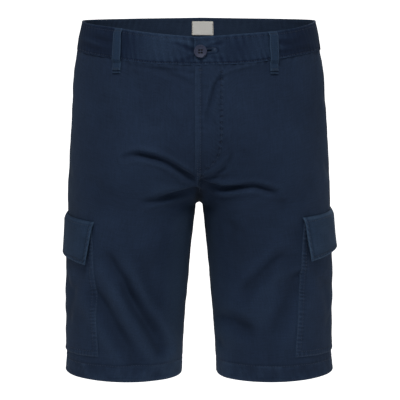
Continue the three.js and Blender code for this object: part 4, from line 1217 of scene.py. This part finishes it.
labelStitches = sewRows("label_stitches", [
    (labelCloth, -0.93, ends, {"length": 1.7, "pitch": 2.3, "width": 0.6, "height": 0.4}),
    (labelCloth, 0.93, ends, {"length": 1.7, "pitch": 2.3, "width": 0.6, "height": 0.4})])
print("stitches sewn")

# The flat sizes in the tables are what shows of each cloth piece, without seam allowances; here only each belt loop's
# side is read.
for name, cloth in loopCloth.items():
    side = loop["places"][name][0]

# The studio: a pale floor below, soft light all round, a large soft lamp high on the left, a weak one on the
# right, two tall soft ones that graze the sides, and a white backdrop that only shows and lights nothing.
studio = {
    "floor": -0.86, "floorSize": 3.0, "backdrop": 9.0, "world": 0.22,
    "lamps": {
        "key": {"at": (-0.25, -1.5, 1.65), "size": 0.8, "power": 35},
        "fill": {"at": (2.1, -2.2, 0.3), "size": 2.0, "power": 6},
        "sideLeft": {"at": (2.3, 0.5, 0.1), "size": 1.5, "power": 7.6},
        "sideRight": {"at": (-2.3, 0.5, 0.1), "size": 1.5, "power": 5.4},
        "behind": {"at": (0.6, 2.2, 1.6), "size": 1.2, "power": 34},
    },
}


def stagePiece(name, bm, material):
    mesh = bpy.data.meshes.new(name)
    bm.to_mesh(mesh)
    bm.free()
    mesh.materials.append(material)
    piece = bpy.data.objects.new(name, mesh)
    bpy.context.scene.collection.objects.link(piece)
    return piece


def paintMaterial(name, low, high, glow):  # matt white paint, with a little light of its own
    material, tree = newMaterial(name)
    place = addNode(tree, "ShaderNodeTexCoord").outputs["Object"]
    soft = addNode(tree, "ShaderNodeTexNoise", {}, {"Vector": place, "Scale": 2.5, "Detail": 2})
    tone = addNode(tree, "ShaderNodeMix", {"data_type": "RGBA"}, {
        0: soft.outputs["Fac"], 6: hexColour(low), 7: hexColour(high)})
    shader = addNode(tree, "ShaderNodeBsdfPrincipled", {}, {
        "Base Color": tone.outputs[2], "Roughness": 0.9, "Specular IOR Level": 0.1,
        "Emission Color": (1, 1, 1, 1), "Emission Strength": glow})
    addNode(tree, "ShaderNodeOutputMaterial", {}, {"Surface": shader.outputs[0]})
    return material


def makeStudio():
    bm = bmesh.new()
    bmesh.ops.create_circle(bm, cap_ends=True, segments=96, radius=studio["floorSize"] / 2,
                            matrix=Matrix.Translation((0, 0, studio["floor"])))
    stagePiece("floor", bm, paintMaterial("PalePaintedFloor", "f2f2f2", "fafafa", 0.22))
    bm = bmesh.new()
    bmesh.ops.create_uvsphere(bm, u_segments=48, v_segments=24, radius=studio["backdrop"])
    backdrop = stagePiece("backdrop", bm, paintMaterial("WhiteBackdrop", "ffffff", "ffffff", 1.05))
    backdrop.visible_diffuse = backdrop.visible_glossy = backdrop.visible_shadow = False
    backdrop.visible_transmission = False
    world = bpy.data.worlds.new("studio")
    bpy.context.scene.world = world
    world.use_nodes = True
    world.node_tree.nodes["Background"].inputs["Color"].default_value = (1, 1, 1, 1)
    world.node_tree.nodes["Background"].inputs["Strength"].default_value = studio["world"]
    for name, row in studio["lamps"].items():
        lamp = bpy.data.lights.new(name, "AREA")
        lamp.shape, lamp.size, lamp.energy = "DISK", row["size"], row["power"]
        holder = bpy.data.objects.new(name, lamp)
        holder.location = row["at"]
        aim = Vector((0, 0, -0.25)) - holder.location
        holder.rotation_euler = aim.to_track_quat("-Z", "Y").to_euler()
        bpy.context.scene.collection.objects.link(holder)


makeStudio()

# The camera: 2.6 m off, looking 4 degrees down.
view = {"distance": 2.6, "height": -0.03056, "pitch": 4.0, "lens": 167.8, "shiftX": 0.0026, "shiftY": -0.0676}
camera = bpy.data.objects.new("camera", bpy.data.cameras.new("camera"))
camera.data.sensor_width, camera.data.lens = 36, view["lens"]
camera.data.shift_x, camera.data.shift_y = view["shiftX"], view["shiftY"]
camera.location = (0, -view["distance"], view["height"])
camera.rotation_euler = (math.radians(90 - view["pitch"]), 0, 0)
camera.data.clip_end = 60
bpy.context.scene.collection.objects.link(camera)
bpy.context.scene.camera = camera
bpy.context.scene.view_settings.view_transform = "Standard"
print("studio and camera set")
